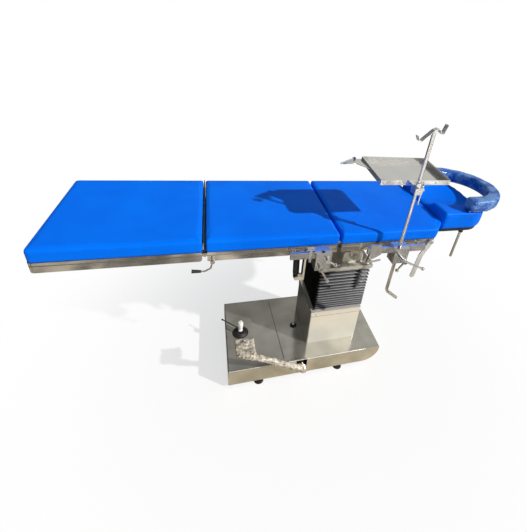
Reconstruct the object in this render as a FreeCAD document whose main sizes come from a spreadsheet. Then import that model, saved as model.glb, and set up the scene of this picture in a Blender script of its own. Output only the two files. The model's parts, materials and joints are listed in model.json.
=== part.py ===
import FreeCAD, Part
import math
import os
import Sketcher
from FreeCAD import Placement, Rotation, Vector

# Height-adjustable operating table for eye surgery. Millimetres and degrees.
# +X runs along the table top towards the head, +Z is up, and the origin lies on the floor below the column.

SIZES = {
    # Table top
    "deck_w": 510.0,  # width of the table top
    "section": 511.0,  # length of each of the three sections, hinge to hinge
    "deck_top": 904.0,  # upper face of the pads above the floor, as raised at rest
    "leg_hinge_x": -620.0,  # hinge between leg and seat section
    "pad_t": 50.0,
    "pad_gap": 6.0,  # open joint between neighbouring pads
    "pad_edge_r": 7.0,
    "foot_corner_r": 16.0,  # rounded corners at the foot end of the leg section
    "pad_corner": 60.0,  # cut-off corners at the head end of the back section
    "frame_h": 38.0,
    "frame_inset": 3.0,
    "frame_gap": 18.0,  # open joint between neighbouring frames
    "rail_w": 30.0,  # width of the frame's own tubes
    "sheet_t": 3.0,  # sheet on the frame that carries the pad
    "groove_d": 2.0,
    "groove_w": 3.0,
    "groove_up": 24.0,  # groove above the frame's underside
    "lug_r": 8.5,
    "lug_t": 12.0,
    "lug_in": 30.0,  # hinge lugs inside the frame's outer face
    "pin_r": 5.0,
    "leg_pin_up": 6.0,  # leg hinge pin above the frame's underside
    "back_pin_down": 9.0,  # back hinge pin below the pads
    "leg_relief": 6.0,
    "run_gap": 0.05,  # radial clearance of turning fits
    "side_gap": 0.5,  # clearance beside turning pieces
    # Base
    "base_foot_x": -544.0,
    "base_head_x": 258.0,
    "base_half_w": 226.0,
    "base_top": 122.0,
    "skirt_z": 20.0,  # lower edge of the cover above the floor
    "nose_r": 86.0,  # curved underside of the base's head end
    "cover_t": 2.0,
    "cover_edge_r": 4.0,
    "plate_z": 66.0,
    "plate_t": 8.0,
    "plate_head_x": 165.0,
    # Column
    "column_half_x": 136.0,
    "column_half_y": 132.0,
    "column_top": 350.0,
    "collar_h": 30.0,
    "collar_t": 1.5,
    "outer_half": 70.0,
    "inner_half": 60.0,
    "tube_t": 9.5,
    "tube_gap": 0.5,
    "inner_bottom": 268.0,
    "ram_r": 18.0,
    "jack_r": 30.0,
    "ram_bottom": 268.0,
    # Bellows
    "pleats": 15.0,
    "bellows_x": 12.0,  # middle of the bellows from the column's axis
    "bellows_half_x": 119.0,
    "bellows_half_y": 108.0,
    "pleat_d": 15.0,
    "bellows_wall": 3.0,
    "bellows_gap": 0.3,
    # Saddle and tilt
    "saddle_z": 608.0,
    "saddle_t": 18.0,
    "saddle_foot_x": -128.0,
    "saddle_head_x": 146.0,
    "saddle_half_y": 128.0,
    "tilt_x": 48.0,
    "tilt_up": 46.0,  # tilt shaft above the saddle plate
    "tilt_r": 15.0,
    "block_half": 52.0,
    "block_h": 64.0,
    "block_y": 75.0,
    "block_t": 20.0,
    "hub_t": 14.0,
    "hub_r": 24.0,
    "beam_y": 108.0,
    "beam_w": 25.0,
    "beam_h": 42.0,
    "beam_drop": 4.0,  # beams below the frames
    "beam_foot": 20.0,  # beams' end from the leg hinge
    "beam_head_x": 90.0,
    # Strut between saddle and beams
    "strut_x": -200.0,
    "strut_z": 480.0,
    "strut_top_x": -215.0,
    "strut_top_z": 782.0,
    "strut_r": 16.0,
    "strut_rod_r": 6.0,
    "strut_body": 185.0,
    "release_off": 42.0,  # head release lever beyond the back's rail
    "release_drop": 182.0,
    "release_bend": 67.0,
    "release_w": 24.0,
    "strut_play": 3.0,  # radial play of the rod's eye on its pin
    "arm_t": 10.0,
    "arm_w": 22.0,
    "arm_bend": 48.0,
    # Head section
    "head_gap": 7.0,
    "head_len": 286.0,
    "head_half_w": 198.0,
    "head_top": 945.0,
    "head_corner_r": 130.0,
    "head_plate_t": 10.0,
    "head_under_r": 22.0,
    "bowl_half": 82.0,
    "bowl_end_half": 215.0,
    "bowl_depth": 41.0,
    "bowl_end_depth": 27.0,
    # Wrist ring
    "ring_x": 595.0,
    "ring_r": 205.0,
    "ring_w": 62.0,
    "ring_h": 58.0,
    "ring_z": 950.0,
    "ring_arm": 62.0,
    "ring_edge_r": 16.0,
    "post_x": 548.0,
    "post_r": 6.0,
    "post_bottom": 680.0,
    "guide_r": 11.0,
    "guide_h": 14.0,
    # Side rails
    "rail_off": 30.0,  # outer face of the side rail from the edge of the pads
    "rail_t": 10.0,
    "rail_h": 30.0,
    "rail_up": 2.0,  # rail above the frame's underside
    "seat_rail_start": 304.0,  # near end of the seat's rail from the leg hinge
    "seat_rail_len": 156.0,
    "back_rail_start": 113.0,  # near end of the back's rail from the back hinge
    "back_rail_len": 274.0,
    "spacer_r": 8.0,
    "slide_gap": 0.4,  # clearance of what slides on the side rail
    # Pole, tray and clamps
    "pole_from": 242.0,  # pole's axis from the back hinge
    "pole_off": 48.0,  # pole's axis from the edge of the pads
    "pole_r": 7.0,
    "pole_top": 1338.0,
    "pole_bottom": 622.0,
    "pole_foot_out": 63.0,  # bent foot of the pole
    "pole_foot_down": 52.0,
    "pole_bend_r": 30.0,
    "clamp_foot": 23.0,  # clamp on either side of the pole
    "clamp_head": 43.0,
    "clamp_top": 860.0,
    "clamp_bottom": 786.0,
    "lip_t": 6.5,
    "socket_from": 424.0,  # accessory socket from the leg hinge
    "socket_r": 8.0,
    "stop_from": 377.0,
    "tray_from": 137.0,  # foot-end wall of the tray, before the pole
    "tray_w": 305.0,
    "tray_d": 196.0,
    "tray_h": 22.0,
    "tray_t": 1.5,
    "tray_z": 1121.0,
    "tray_off": 13.0,  # tray's front wall outside the edge of the pads
    "tray_pitch": 5.0,
    "tray_clamp_z": 1106.0,
    "tray_clamp_h": 26.0,
    "tray_clamp_half": 16.0,
    # Castors, lock and pedals
    "wheel_r": 25.0,
    "wheel_w": 18.0,
    "axle_r": 4.0,
    "trail": 18.0,
    "fork_t": 4.0,
    "king_r": 6.0,
    "castor_foot_x": -485.0,
    "castor_head_x": 112.0,
    "castor_in": 61.0,  # castors inside the base's outer face
    "lock_foot_x": -395.0,
    "lock_head_x": 30.0,
    "lock_in": 14.0,  # lock feet inside the base's outer face
    "lock_z": 48.0,
    "lock_t": 6.0,
    "stem_r": 7.0,
    "foot_r": 24.0,
    "foot_h": 10.0,
    "lock_pedal_x": -470.0,
    "gaiter_r": 42.0,
    "gaiter_h": 10.0,
    "lever_reach": 120.0,
    "lever_turn": 138.0,  # plan direction of the lock lever
    "button_x": -181.0,
    "button_r": 7.0,
    "grommet_r": 18.0,
    "pump_x": -182.0,
    "pump_z": 100.0,
    "pump_off": 36.0,  # pump lever outside the base cover
    "pump_lean": 32.0,
    "pump_reach": 340.0,
    "plate_half": 40.0,  # half length of the pump's foot plate
    "plate_near": 16.0,
    "plate_far": 64.0,
    "lever_w": 12.0,  # width of the lock lever
    "pump_shaft_r": 9.0,
    "slot_half": 28.0,
    "slot_drop": 48.0,
}

doc = FreeCAD.newDocument("operating_table")
sheet = doc.addObject("Spreadsheet::Sheet", "Sizes")
for row, (alias, value) in enumerate(SIZES.items(), start=1):
    sheet.set("A%d" % row, alias)
    sheet.set("B%d" % row, str(value))
    sheet.setAlias("B%d" % row, alias)
doc.recompute()


class Size:
    """A number together with the sheet expression that gives it."""

    def __init__(self, number, text):
        self.number = number
        self.text = text

    def __add__(self, other):
        return joined(self, "+", other)

    def __radd__(self, other):
        return joined(other, "+", self)

    def __sub__(self, other):
        return joined(self, "-", other)

    def __rsub__(self, other):
        return joined(other, "-", self)

    def __mul__(self, other):
        return joined(self, "*", other)

    def __rmul__(self, other):
        return joined(other, "*", self)

    def __truediv__(self, other):
        return joined(self, "/", other)

    def __neg__(self):
        return Size(-self.number, "-(%s)" % self.text)


def as_size(value):
    return value if isinstance(value, Size) else Size(float(value), repr(float(value)))


def joined(left, sign, right):
    left, right = as_size(left), as_size(right)
    sums = {
        "+": lambda a, b: a + b,
        "-": lambda a, b: a - b,
        "*": lambda a, b: a * b,
        "/": lambda a, b: a / b,
    }
    return Size(sums[sign](left.number, right.number), "(%s %s %s)" % (left.text, sign, right.text))


class Named:
    """Every size of the sheet as an attribute."""

    def __getattr__(self, alias):
        return Size(float(getattr(sheet, alias)), "Sizes.%s" % alias)


S = Named()
NODES = []


def bind(thing, **values):
    """Ties properties to sizes; a double underscore in a name stands for a dot."""
    for name, value in values.items():
        path = name.replace("__", ".")
        size = as_size(value)
        if "." not in path:
            setattr(thing, path, size.number)
        if "Sizes." in size.text:
            thing.setExpression(path, size.text)
    return thing


def place(thing, x=0.0, y=0.0, z=0.0, axis=None, angle=0.0):
    """Puts a thing at a point, turned about an axis."""
    at = [as_size(value) for value in (x, y, z)]
    turn = Rotation(Vector(*axis), as_size(angle).number) if axis else thing.Placement.Rotation
    thing.Placement = Placement(Vector(*[size.number for size in at]), turn)
    for name, size in zip("xyz", at):
        if "Sizes." in size.text:
            thing.setExpression("Placement.Base.%s" % name, size.text)
    if axis and "Sizes." in as_size(angle).text:
        thing.setExpression("Placement.Rotation.Angle", angle.text)
    return thing


def node(thing, label):
    """Names a finished sub-part."""
    thing.Label = label
    NODES.append(thing)
    return thing


# Part workbench pieces


def box(x0, x1, y0, y1, z0, z1):
    piece = doc.addObject("Part::Box", "Box")
    bind(piece, Length=x1 - x0, Width=y1 - y0, Height=z1 - z0)
    return place(piece, x0, y0, z0)


TURNS = {"Z": None, "X": ((0, 1, 0), 90.0), "Y": ((1, 0, 0), -90.0)}


def rod(direction, x, y, z, radius, length):
    """A cylinder that starts at a point and runs along +X, +Y or +Z."""
    piece = doc.addObject("Part::Cylinder", "Rod")
    bind(piece, Radius=radius, Height=length)
    turn = TURNS[direction]
    return place(piece, x, y, z, *(turn or ()))


def ball(x, y, z, radius, seam_down=False):
    """A sphere, with its seam turned to the underside where an arm meets it from above."""
    turn = ((0, 1, 0), 90.0) if seam_down else ()
    return place(bind(doc.addObject("Part::Sphere", "Ball"), Radius=radius), x, y, z, *turn)


def cone(x, y, z, low, high, length):
    piece = doc.addObject("Part::Cone", "Cone")
    return place(bind(piece, Radius1=low, Radius2=high, Height=length), x, y, z)


def fuse(*pieces):
    joint = doc.addObject("Part::MultiFuse", "Fuse")
    joint.Shapes = list(pieces)
    return joint


def cut(base, *tools):
    for tool in tools:
        piece = doc.addObject("Part::Cut", "Cut")
        piece.Base, piece.Tool = base, tool
        base = piece
    return base


def rounded(base, radius, pick):
    """Fillets the edges of a Part shape that pick accepts."""
    doc.recompute()
    piece = doc.addObject("Part::Fillet", "Rounded")
    size = as_size(radius).number
    piece.Base = base
    piece.Edges = [(i, size, size) for i, edge in enumerate(base.Shape.Edges, 1) if pick(edge)]
    return piece


def shaped(shape):
    piece = doc.addObject("Part::Feature", "Shaped")
    piece.Shape = shape
    return piece


def numbers(*sizes):
    return [as_size(size).number for size in sizes]


def bent_path(points, radius):
    """A wire of straight runs through the points, joined by tangent arcs."""
    spots = [Vector(*numbers(*point)) for point in points]
    radii = numbers(*radius) if isinstance(radius, (list, tuple)) else numbers(radius) * (len(spots) - 2)
    edges, start = [], spots[0]
    for before, corner, after, bend in zip(spots, spots[1:], spots[2:], radii):
        back, ahead = (before - corner).normalize(), (after - corner).normalize()
        half = back.getAngle(ahead) / 2
        reach = bend / math.tan(half)
        first, last = corner + back * reach, corner + ahead * reach
        inward = (back + ahead).normalize()
        middle = corner + inward * (bend / math.sin(half) - bend)
        edges.append(Part.LineSegment(start, first).toShape())
        edges.append(Part.Arc(first, middle, last).toShape())
        start = last
    edges.append(Part.LineSegment(start, spots[-1]).toShape())
    return Part.Wire(edges)


def round_section(path, radius):
    first = path.Edges[0]
    start = first.valueAt(first.FirstParameter)
    return Part.Wire(Part.makeCircle(as_size(radius).number, start, first.tangentAt(first.FirstParameter)))


def flat_section(path, thick, wide, across):
    """A rectangle at the path's start: wide along the vector across, thick at right angles to it."""
    first = path.Edges[0]
    start, ahead = first.valueAt(first.FirstParameter), first.tangentAt(first.FirstParameter)
    side = Vector(*across).normalize() * (as_size(wide).number / 2)
    up = ahead.cross(side).normalize() * (as_size(thick).number / 2)
    return Part.makePolygon([start + side + up, start - side + up, start - side - up, start + side - up, start + side + up])


def swept(path, section):
    return shaped(path.makePipeShell([section], True, False))


# PartDesign bodies


def new_body(name):
    return doc.addObject("PartDesign::Body", name)


def circle(x, y, radius):
    return {"centre": (x, y), "radius": radius}


def rect(x0, x1, y0, y1):
    return [(x0, y0), (x1, y0), (x1, y1), (x0, y1)]


def pinned(sketch, index, point, spot):
    """Fixes a point of a sketch by its distances from the origin."""
    for kind, value in zip("XY", spot):
        size = as_size(value)
        number = sketch.addConstraint(
            Sketcher.Constraint("Distance%s" % kind, -1, 1, index, point, size.number)
        )
        if "Sizes." in size.text:
            name = "%s%d_%d" % (kind.lower(), index, point)
            sketch.renameConstraint(number, name)
            sketch.setExpression("Constraints.%s" % name, size.text)


def sketch(body, plane, *loops, offset=0.0):
    """A sketch of polygons and circles on one of the body's own planes."""
    piece = body.newObject("Sketcher::SketchObject", "Sketch")
    support = [o for o in body.Origin.OriginFeatures if o.Role == plane + "_Plane"][0]
    piece.AttachmentSupport = [(support, "")]
    piece.MapMode = "FlatFace"
    lift = as_size(offset)
    piece.AttachmentOffset = Placement(Vector(0, 0, lift.number), Rotation())
    if "Sizes." in lift.text:
        piece.setExpression("AttachmentOffset.Base.z", lift.text)
    for loop in loops:
        if isinstance(loop, dict):
            x, y, radius = numbers(*loop["centre"], loop["radius"])
            index = piece.addGeometry(Part.Circle(Vector(x, y, 0), Vector(0, 0, 1), radius), False)
            pinned(piece, index, 3, loop["centre"])
            number = piece.addConstraint(Sketcher.Constraint("Radius", index, radius))
            size = as_size(loop["radius"])
            if "Sizes." in size.text:
                piece.renameConstraint(number, "r%d" % index)
                piece.setExpression("Constraints.r%d" % index, size.text)
            continue
        spots = [Vector(*numbers(*spot), 0) for spot in loop]
        first = piece.GeometryCount
        for start, end in zip(spots, spots[1:] + spots[:1]):
            piece.addGeometry(Part.LineSegment(start, end), False)
        for step in range(len(spots)):
            after = first + (step + 1) % len(spots)
            piece.addConstraint(Sketcher.Constraint("Coincident", first + step, 2, after, 1))
        for step, spot in enumerate(loop):
            pinned(piece, first + step, 1, spot)
    return piece


def pad(body, profile, length, taper=None, both=False, down=False):
    piece = body.newObject("PartDesign::Pad", "Pad")
    piece.Profile = profile
    bind(piece, Length=length)
    if taper is not None:
        piece.TaperAngle = taper
    if both:
        piece.SideType = "Symmetric"
    piece.Reversed = down
    return piece


def pocket(body, profile, length, both=False, up=False):
    piece = body.newObject("PartDesign::Pocket", "Pocket")
    piece.Profile = profile
    bind(piece, Length=length)
    if both:
        piece.SideType = "Symmetric"
    piece.Reversed = up
    return piece


def revolve(body, profile, axis="V_Axis"):
    piece = body.newObject("PartDesign::Revolution", "Revolution")
    piece.Profile = profile
    piece.ReferenceAxis = (profile, [axis])
    piece.Angle = 360.0
    return piece


def edged(body, kind, size, pick):
    """A PartDesign Fillet or Chamfer on the edges of the body's tip that pick accepts."""
    doc.recompute()
    tip = body.Tip
    names = ["Edge%d" % i for i, edge in enumerate(tip.Shape.Edges, 1) if pick(edge)]
    piece = body.newObject("PartDesign::" + kind, kind)
    piece.Base = (tip, names)
    bind(piece, **{"Radius" if kind == "Fillet" else "Size": size})
    return piece


NEAR = 0.01


def along(edge, direction):
    """Whether a straight edge runs along a coordinate direction."""
    if edge.Curve.TypeId != "Part::GeomLine":
        return False
    return abs(abs(edge.tangentAt(edge.FirstParameter).dot(Vector(*direction))) - 1) < NEAR


def middle(edge):
    return edge.valueAt((edge.FirstParameter + edge.LastParameter) / 2)


def level(edge, height):
    """Whether an edge lies all at one height."""
    bounds = edge.BoundBox
    return abs(bounds.ZMin - height) < NEAR and abs(bounds.ZMax - height) < NEAR


# Places worked out from the driving sizes

foot_x = S.leg_hinge_x - S.section
back_x = S.leg_hinge_x + S.section
head_x = back_x + S.section
half_w = S.deck_w / 2
pad_z = S.deck_top - S.pad_t
frame_z = pad_z - S.frame_h
leg_pin_z = frame_z + S.leg_pin_up
back_pin_z = pad_z - S.back_pin_down
frame_half = half_w - S.frame_inset
saddle_top = S.saddle_z + S.saddle_t
tilt_z = saddle_top + S.tilt_up
rail_z = frame_z + S.rail_up
rail_y = half_w + S.rail_off
seat_rail_foot = S.leg_hinge_x + S.seat_rail_start
seat_rail_head = seat_rail_foot + S.seat_rail_len
back_rail_foot = back_x + S.back_rail_start
back_rail_head = back_rail_foot + S.back_rail_len
pole_x = back_x + S.pole_from
castor_y = S.base_half_w - S.castor_in
lock_y = S.base_half_w - S.lock_in
pole_y = half_w + S.pole_off
BOTH_SIDES = (-1, 1)


def deck_outline(length, half, corner, grow=0.0):
    """Plan of a section from its foot end at x = 0, with cut corners at the head end if it has them."""
    left, right, side = 0.0 - grow, length + grow, half + grow
    if corner is None:
        return rect(left, right, -side, side)
    return [
        (left, -side), (right - corner, -side), (right, corner - side),
        (right, side - corner), (right - corner, side), (left, side),
    ]


def foot_corners(edge):
    """Upright edges of a section at its foot end."""
    return along(edge, (0, 0, 1)) and abs(middle(edge).x) < NEAR


def rounded_plan(outline, radius, steps=6):
    """The outline with its two foot-end corners, the first and the last point, drawn as arcs."""
    left, low = outline[0]
    high = outline[-1][1]
    near, far = [], []
    for step in range(steps + 1):
        turn = math.radians(90.0 * step / steps)
        across, up = radius * (1 - math.cos(turn)), radius * (1 - math.sin(turn))
        near.append((left + across, low + up))
        far.append((left + across, high - up))
    return near + outline[1:-1] + far[::-1]


def frame(name, start, length, corner=None, foot_r=None):
    """A welded frame of tubes with the pad's sheet on top and a groove along its outer face."""
    body = new_body(name)
    outline = deck_outline(length, frame_half, corner)
    near, far = S.rail_w, length - S.rail_w
    half = (length - S.rail_w) / 2
    inside = frame_half - S.rail_w
    right = far if corner is None else far - corner / 2
    windows = [rect(near, half, -inside, inside), rect(half + S.rail_w, right, -inside, inside)]
    pad(body, sketch(body, "XY", outline, *windows), S.frame_h - S.sheet_t)
    pad(body, sketch(body, "XY", outline, offset=S.frame_h - S.sheet_t), S.sheet_t)
    around = deck_outline(length, frame_half, corner, grow=S.groove_d)
    bottom = deck_outline(length, frame_half, corner, grow=-S.groove_d)
    if foot_r is not None:
        edged(body, "Fillet", foot_r, foot_corners)
        bottom = rounded_plan(bottom, foot_r - S.groove_d)
    pocket(body, sketch(body, "XY", around, bottom, offset=S.groove_up + S.groove_w), S.groove_w)
    return place(body, start, 0.0, frame_z)


def lugs(frame_end, pin_x, pin_z, inner, outer):
    """Round-nosed hinge lugs on both sides, from a frame's end tube to the pin."""
    head_end = frame_end.number < pin_x.number
    low, high = (frame_end - 2, pin_x) if head_end else (pin_x, frame_end + 2)
    pieces = []
    for side in BOTH_SIDES:
        y0 = inner if side > 0 else -outer
        wide = outer - inner
        pieces.append(box(low, high, y0, y0 + wide, pin_z - S.lug_r * 0.7, pin_z + S.lug_r * 0.7))
        pieces.append(rod("Y", pin_x, y0, pin_z, S.lug_r, wide))
    return pieces


lug_out = frame_half - S.lug_in
lug_mid = lug_out - S.lug_t
lug_low = lug_mid - S.side_gap - S.lug_t


def carrying_lugs(frame_end, pin_x, pin_z):
    """Inner lugs with one hinge shaft right across, for the frame that carries the next one."""
    shaft = rod("Y", pin_x, -lug_out - 2, pin_z, S.pin_r, lug_out * 2 + 4)
    return lugs(frame_end, pin_x, pin_z, lug_low, lug_mid - S.side_gap) + [shaft]


def bore_y(x, z, radius, reach):
    """A tool for bores through both sides, along Y."""
    return rod("Y", x, -reach, z, radius, reach * 2)


def cushion(name, start, end, corner=None, foot_r=None):
    """A flat pad with slightly rounded edges."""
    body = new_body(name)
    pad(body, sketch(body, "XY", deck_outline(end - start, half_w, corner)), S.pad_t)
    if foot_r is not None:
        edged(body, "Fillet", foot_r, foot_corners)
    edged(body, "Fillet", S.pad_edge_r,
          lambda edge: foot_r is None or not along(edge, (0, 0, 1)) or middle(edge).x > 100)
    return place(body, start, 0.0, pad_z)


def leg_section():
    end = S.leg_hinge_x - S.frame_gap / 2
    length = (end - foot_x).number
    body = frame("LegFrame", foot_x, end - foot_x, foot_r=S.foot_corner_r)
    edged(body, "Chamfer", S.leg_relief,
          lambda edge: along(edge, (0, 1, 0)) and level(edge, 0.0) and middle(edge).x > length - NEAR)
    whole = fuse(body, *lugs(end, S.leg_hinge_x, leg_pin_z, lug_mid, lug_out))
    node(cut(whole, bore_y(S.leg_hinge_x, leg_pin_z, S.pin_r + S.run_gap, lug_out + 1)), "leg_frame")
    node(cushion("LegPad", foot_x, S.leg_hinge_x - S.pad_gap / 2, foot_r=S.foot_corner_r), "leg_pad")


handle_x = S.leg_hinge_x + 26
handle_z = frame_z + 5
handle_y = half_w + 9
release_x = back_rail_head + S.release_off
release_z = pad_z - 13
release_y = half_w + 7
PIVOT_R = 4.0


def side_pivot(x, y, z, half):
    """A shouldered pin on the near side of a frame for a hand lever."""
    long = y - frame_half + half
    return [
        rod("Y", x, -y + half + S.side_gap, z, 7.0, long - half * 2 - S.side_gap + 1),
        rod("Y", x, -y - half - 2, z, PIVOT_R, long + 2),
        rod("Y", x, -y - half - S.side_gap - 2, z, 6.0, 2.0),
    ]


def seat_section():
    start, end = S.leg_hinge_x + S.frame_gap / 2, back_x - S.frame_gap / 2
    body = frame("SeatFrame", start, end - start)
    whole = fuse(body, *side_pivot(handle_x, handle_y, handle_z, 4.0),
                 *carrying_lugs(start, S.leg_hinge_x, leg_pin_z),
                 *carrying_lugs(end, back_x, back_pin_z))
    node(whole, "seat_frame")
    node(cushion("SeatPad", S.leg_hinge_x + S.pad_gap / 2, back_x - S.pad_gap / 2), "seat_pad")


HEAD_LUG = 120.0  # inner face of the lugs that carry the head section


def back_section():
    start, end = back_x + S.frame_gap / 2, head_x - S.frame_gap / 2
    body = frame("BackFrame", start, end - start, corner=S.pad_corner)
    long = S.lug_t * 2 + 4
    pins = [rod("Y", head_x, HEAD_LUG - S.lug_t - 2 if side > 0 else -HEAD_LUG - S.lug_t - 2,
                back_pin_z, S.pin_r, long) for side in BOTH_SIDES]
    whole = fuse(body, *side_pivot(release_x, release_y, release_z, 2.0), *pins,
                 *lugs(start, back_x, back_pin_z, lug_mid, lug_out),
                 *lugs(end, head_x, back_pin_z, as_size(HEAD_LUG), HEAD_LUG + S.lug_t))
    bores = bore_y(back_x, back_pin_z, S.pin_r + S.run_gap, lug_out + 1)
    node(cut(whole, bores), "back_frame")
    node(cushion("BackPad", back_x + S.pad_gap / 2, head_x, corner=S.pad_corner), "back_pad")


def slanted(x0, z0, x1, z1, y, radius, end_radius=None):
    """A rod or a tapered rod between two points of a plane of constant y."""
    dx, dz = (x1 - x0), (z1 - z0)
    dx, dz = numbers(dx, dz)
    piece = doc.addObject("Part::Cone", "Slanted") if end_radius else doc.addObject("Part::Cylinder", "Slanted")
    bind(piece, Height=math.hypot(dx, dz))
    if end_radius:
        bind(piece, Radius1=radius, Radius2=end_radius)
    else:
        bind(piece, Radius=radius)
    return place(piece, x0, y, z0, (0, 1, 0), math.degrees(math.atan2(dx, dz)))


def release_handles():
    """The thin bent handle of the leg section and the flat hanging lever of the head section."""
    y = -handle_y
    path = bent_path([(handle_x, y, handle_z), (handle_x - 7, y, handle_z - 29),
                      (handle_x - 28, y, handle_z - 41), (handle_x - 66, y, handle_z - 37)], 9.0)
    bar = swept(path, round_section(path, 3.0))
    hub = rod("Y", handle_x, y - 4, handle_z, 8.0, 8.0)
    bore = rod("Y", handle_x, y - 5, handle_z, PIVOT_R + S.run_gap, 10.0)
    node(cut(fuse(hub, bar), bore), "leg_handle")
    grip = slanted(handle_x - 40, handle_z - 39.74, handle_x - 72, handle_z - 36.37, y, 5.0, 7.0)
    bar_hole = slanted(handle_x - 35, handle_z - 40.26, handle_x - 66, handle_z - 37, y, 3.05)
    node(cut(grip, bar_hole), "leg_grip")
    y = -release_y
    end_x, end_z = release_x - S.release_off, release_z - S.release_drop
    path = bent_path([(release_x - 4, y, release_z - 4), (end_x + 10, y, release_z - S.release_bend),
                      (end_x, y, end_z)], 40.0)
    strip = swept(path, flat_section(path, 4.0, S.release_w, (9, 0, -4)))
    flat_end = rod("Y", end_x, y - 2, end_z, S.release_w / 2, 4.0)
    hub = rod("Y", release_x, y - 2, release_z, 13.0, 4.0)
    bore = rod("Y", release_x, y - 3, release_z, PIVOT_R + S.run_gap, 6.0)
    node(cut(fuse(hub, strip, flat_end), bore), "head_release")


head_foot_x = head_x + S.head_gap
head_end_x = head_foot_x + S.head_len
plate_z = back_pin_z - 2


def head_outline_body(name, start, half, length, corner, low, thick):
    body = new_body(name)
    pad(body, sketch(body, "XY", rect(as_size(0), length, -half, half)), thick)
    far = length.number
    edged(body, "Fillet", corner, lambda edge: along(edge, (0, 0, 1)) and middle(edge).x > far - NEAR)
    return place(body, start, 0.0, low)


def bowl():
    """A trough that widens from the shoulder end to the crown end."""
    wires = []
    spans = [(head_foot_x - 1, S.bowl_half, S.bowl_depth), (head_end_x + 1, S.bowl_end_half, S.bowl_end_depth)]
    for x, half, depth in spans:
        x, half, depth, top = numbers(x, half, depth, S.head_top)
        low = Part.Arc(Vector(x, -half, top), Vector(x, 0, top - depth), Vector(x, half, top)).toShape()
        rim = [Vector(x, half, top), Vector(x, half, top + 5), Vector(x, -half, top + 5), Vector(x, -half, top)]
        wires.append(Part.Wire([low] + Part.makePolygon(rim).Edges))
    return shaped(Part.makeLoft(wires, True, True))


def head_section():
    plate_foot = head_foot_x + 2
    plate = head_outline_body("HeadPlate", plate_foot, S.head_half_w - 12, S.head_len - 14,
                              S.head_corner_r - 12, plate_z, S.head_plate_t)
    pieces, bores = [plate], []
    for side in BOTH_SIDES:
        y0 = HEAD_LUG - S.side_gap - S.lug_t if side > 0 else -HEAD_LUG + S.side_gap
        pieces.append(box(head_x, plate_foot + 3, y0, y0 + S.lug_t, back_pin_z - 5, back_pin_z + 6))
        pieces.append(rod("Y", head_x, y0, back_pin_z, S.lug_r, S.lug_t))
        y = post_y * side
        pieces.append(rod("Z", S.post_x, y, plate_z - S.guide_h, S.guide_r, S.guide_h + 1))
        bores.append(rod("Z", S.post_x, y, plate_z - S.guide_h - 1, S.post_r + S.run_gap, 60.0))
    bores.append(bore_y(head_x, back_pin_z, S.pin_r + S.run_gap, as_size(HEAD_LUG)))
    node(cut(fuse(*pieces), *bores), "head_plate")
    low = plate_z + S.head_plate_t
    body = head_outline_body("HeadPad", head_foot_x, S.head_half_w, S.head_len,
                             S.head_corner_r, low, S.head_top - low)
    edged(body, "Fillet", S.head_under_r, lambda edge: level(edge, 0.0) and middle(edge).x > 1)
    holes = [rod("Z", S.post_x, post_y * side, low - 1, S.post_r + 1, 120.0) for side in BOTH_SIDES]
    node(cut(body, bowl(), *holes), "head_pad")


post_y = S.ring_r - S.ring_w / 2


def horseshoe(outer, inner, z, height, foot):
    """Half a ring, open towards the table, with straight arms."""
    whole = fuse(rod("Z", S.ring_x, 0.0, z, outer, height),
                 box(foot, S.ring_x, -outer, outer, z, z + height))
    return cut(whole, rod("Z", S.ring_x, 0.0, z - 1, inner, height + 2),
               box(foot - 1, S.ring_x, -inner, inner, z - 1, z + height + 1),
               box(S.ring_x - outer - 1, foot, -outer - 1, outer + 1, z - 1, z + height + 1))


def wrist_ring():
    foot = S.ring_x - S.ring_arm
    ring = horseshoe(S.ring_r, S.ring_r - S.ring_w, S.ring_z, S.ring_h, foot)
    node(rounded(ring, S.ring_edge_r, lambda edge: True), "wrist_ring")
    carrier = horseshoe(S.ring_r - 16, S.ring_r - S.ring_w + 16, S.ring_z - 4, as_size(4), foot + 6)
    posts = [rod("Z", S.post_x, post_y * side, S.post_bottom, S.post_r, S.ring_z - 4 - S.post_bottom)
             for side in BOTH_SIDES]
    node(fuse(carrier, *posts), "ring_carrier")


def side_rails(label, foot, head, first, last):
    """Accessory rails on both sides, each on two spacers."""
    pieces = []
    for side in BOTH_SIDES:
        y0 = rail_y - S.rail_t if side > 0 else -rail_y
        pieces.append(box(foot, head, y0, y0 + S.rail_t, rail_z, rail_z + S.rail_h))
        for x in (first, last):
            start = frame_half if side > 0 else -rail_y + S.rail_t
            pieces.append(rod("Y", x, start, rail_z + S.rail_h / 2, S.spacer_r, rail_y - S.rail_t - frame_half))
    node(fuse(*pieces), label)


rail_back = rail_y - S.rail_t
clamp_y = S.pole_off + half_w + 15


def rail_clamp(x0, x1, z0, z1, front):
    """A block in front of the near rail with lips above, below and behind it."""
    gap = S.slide_gap
    slot_low, slot_top = rail_z - gap, rail_z + S.rail_h + gap
    whole = box(x0, x1, -front, -rail_back + gap + S.lip_t, z0, z1)
    slot = box(x0 - 1, x1 + 1, -rail_y - gap, -rail_back + gap, slot_low, slot_top)
    way = box(x0 - 1, x1 + 1, -rail_y, -rail_back + gap + S.lip_t + 1, rail_z + 6, rail_z + S.rail_h - 6)
    return cut(whole, slot, way)


def hand_screw(label, x, z, tip_x, tip_z, front, depth, reach=8.0):
    """A clamping screw along Y with a hub, a slanted arm and a ball."""
    y = -front - reach
    pieces = [
        rod("Y", x, -front - 4, z, SCREW_R, depth + 4),
        rod("Y", x, -front - reach - 7, z, 9.5, reach + 6.6),
        slanted(x, z, tip_x, tip_z, y, 4.5, 3.6),
        ball(tip_x, y, tip_z, 7.0, seam_down=True),
    ]
    node(fuse(*pieces), label)


SCREW_R = 5.0


def screw_hole(x, z, front, depth):
    return rod("Y", x, -front - 1, z, SCREW_R + S.run_gap, depth + 1.4)


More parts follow.
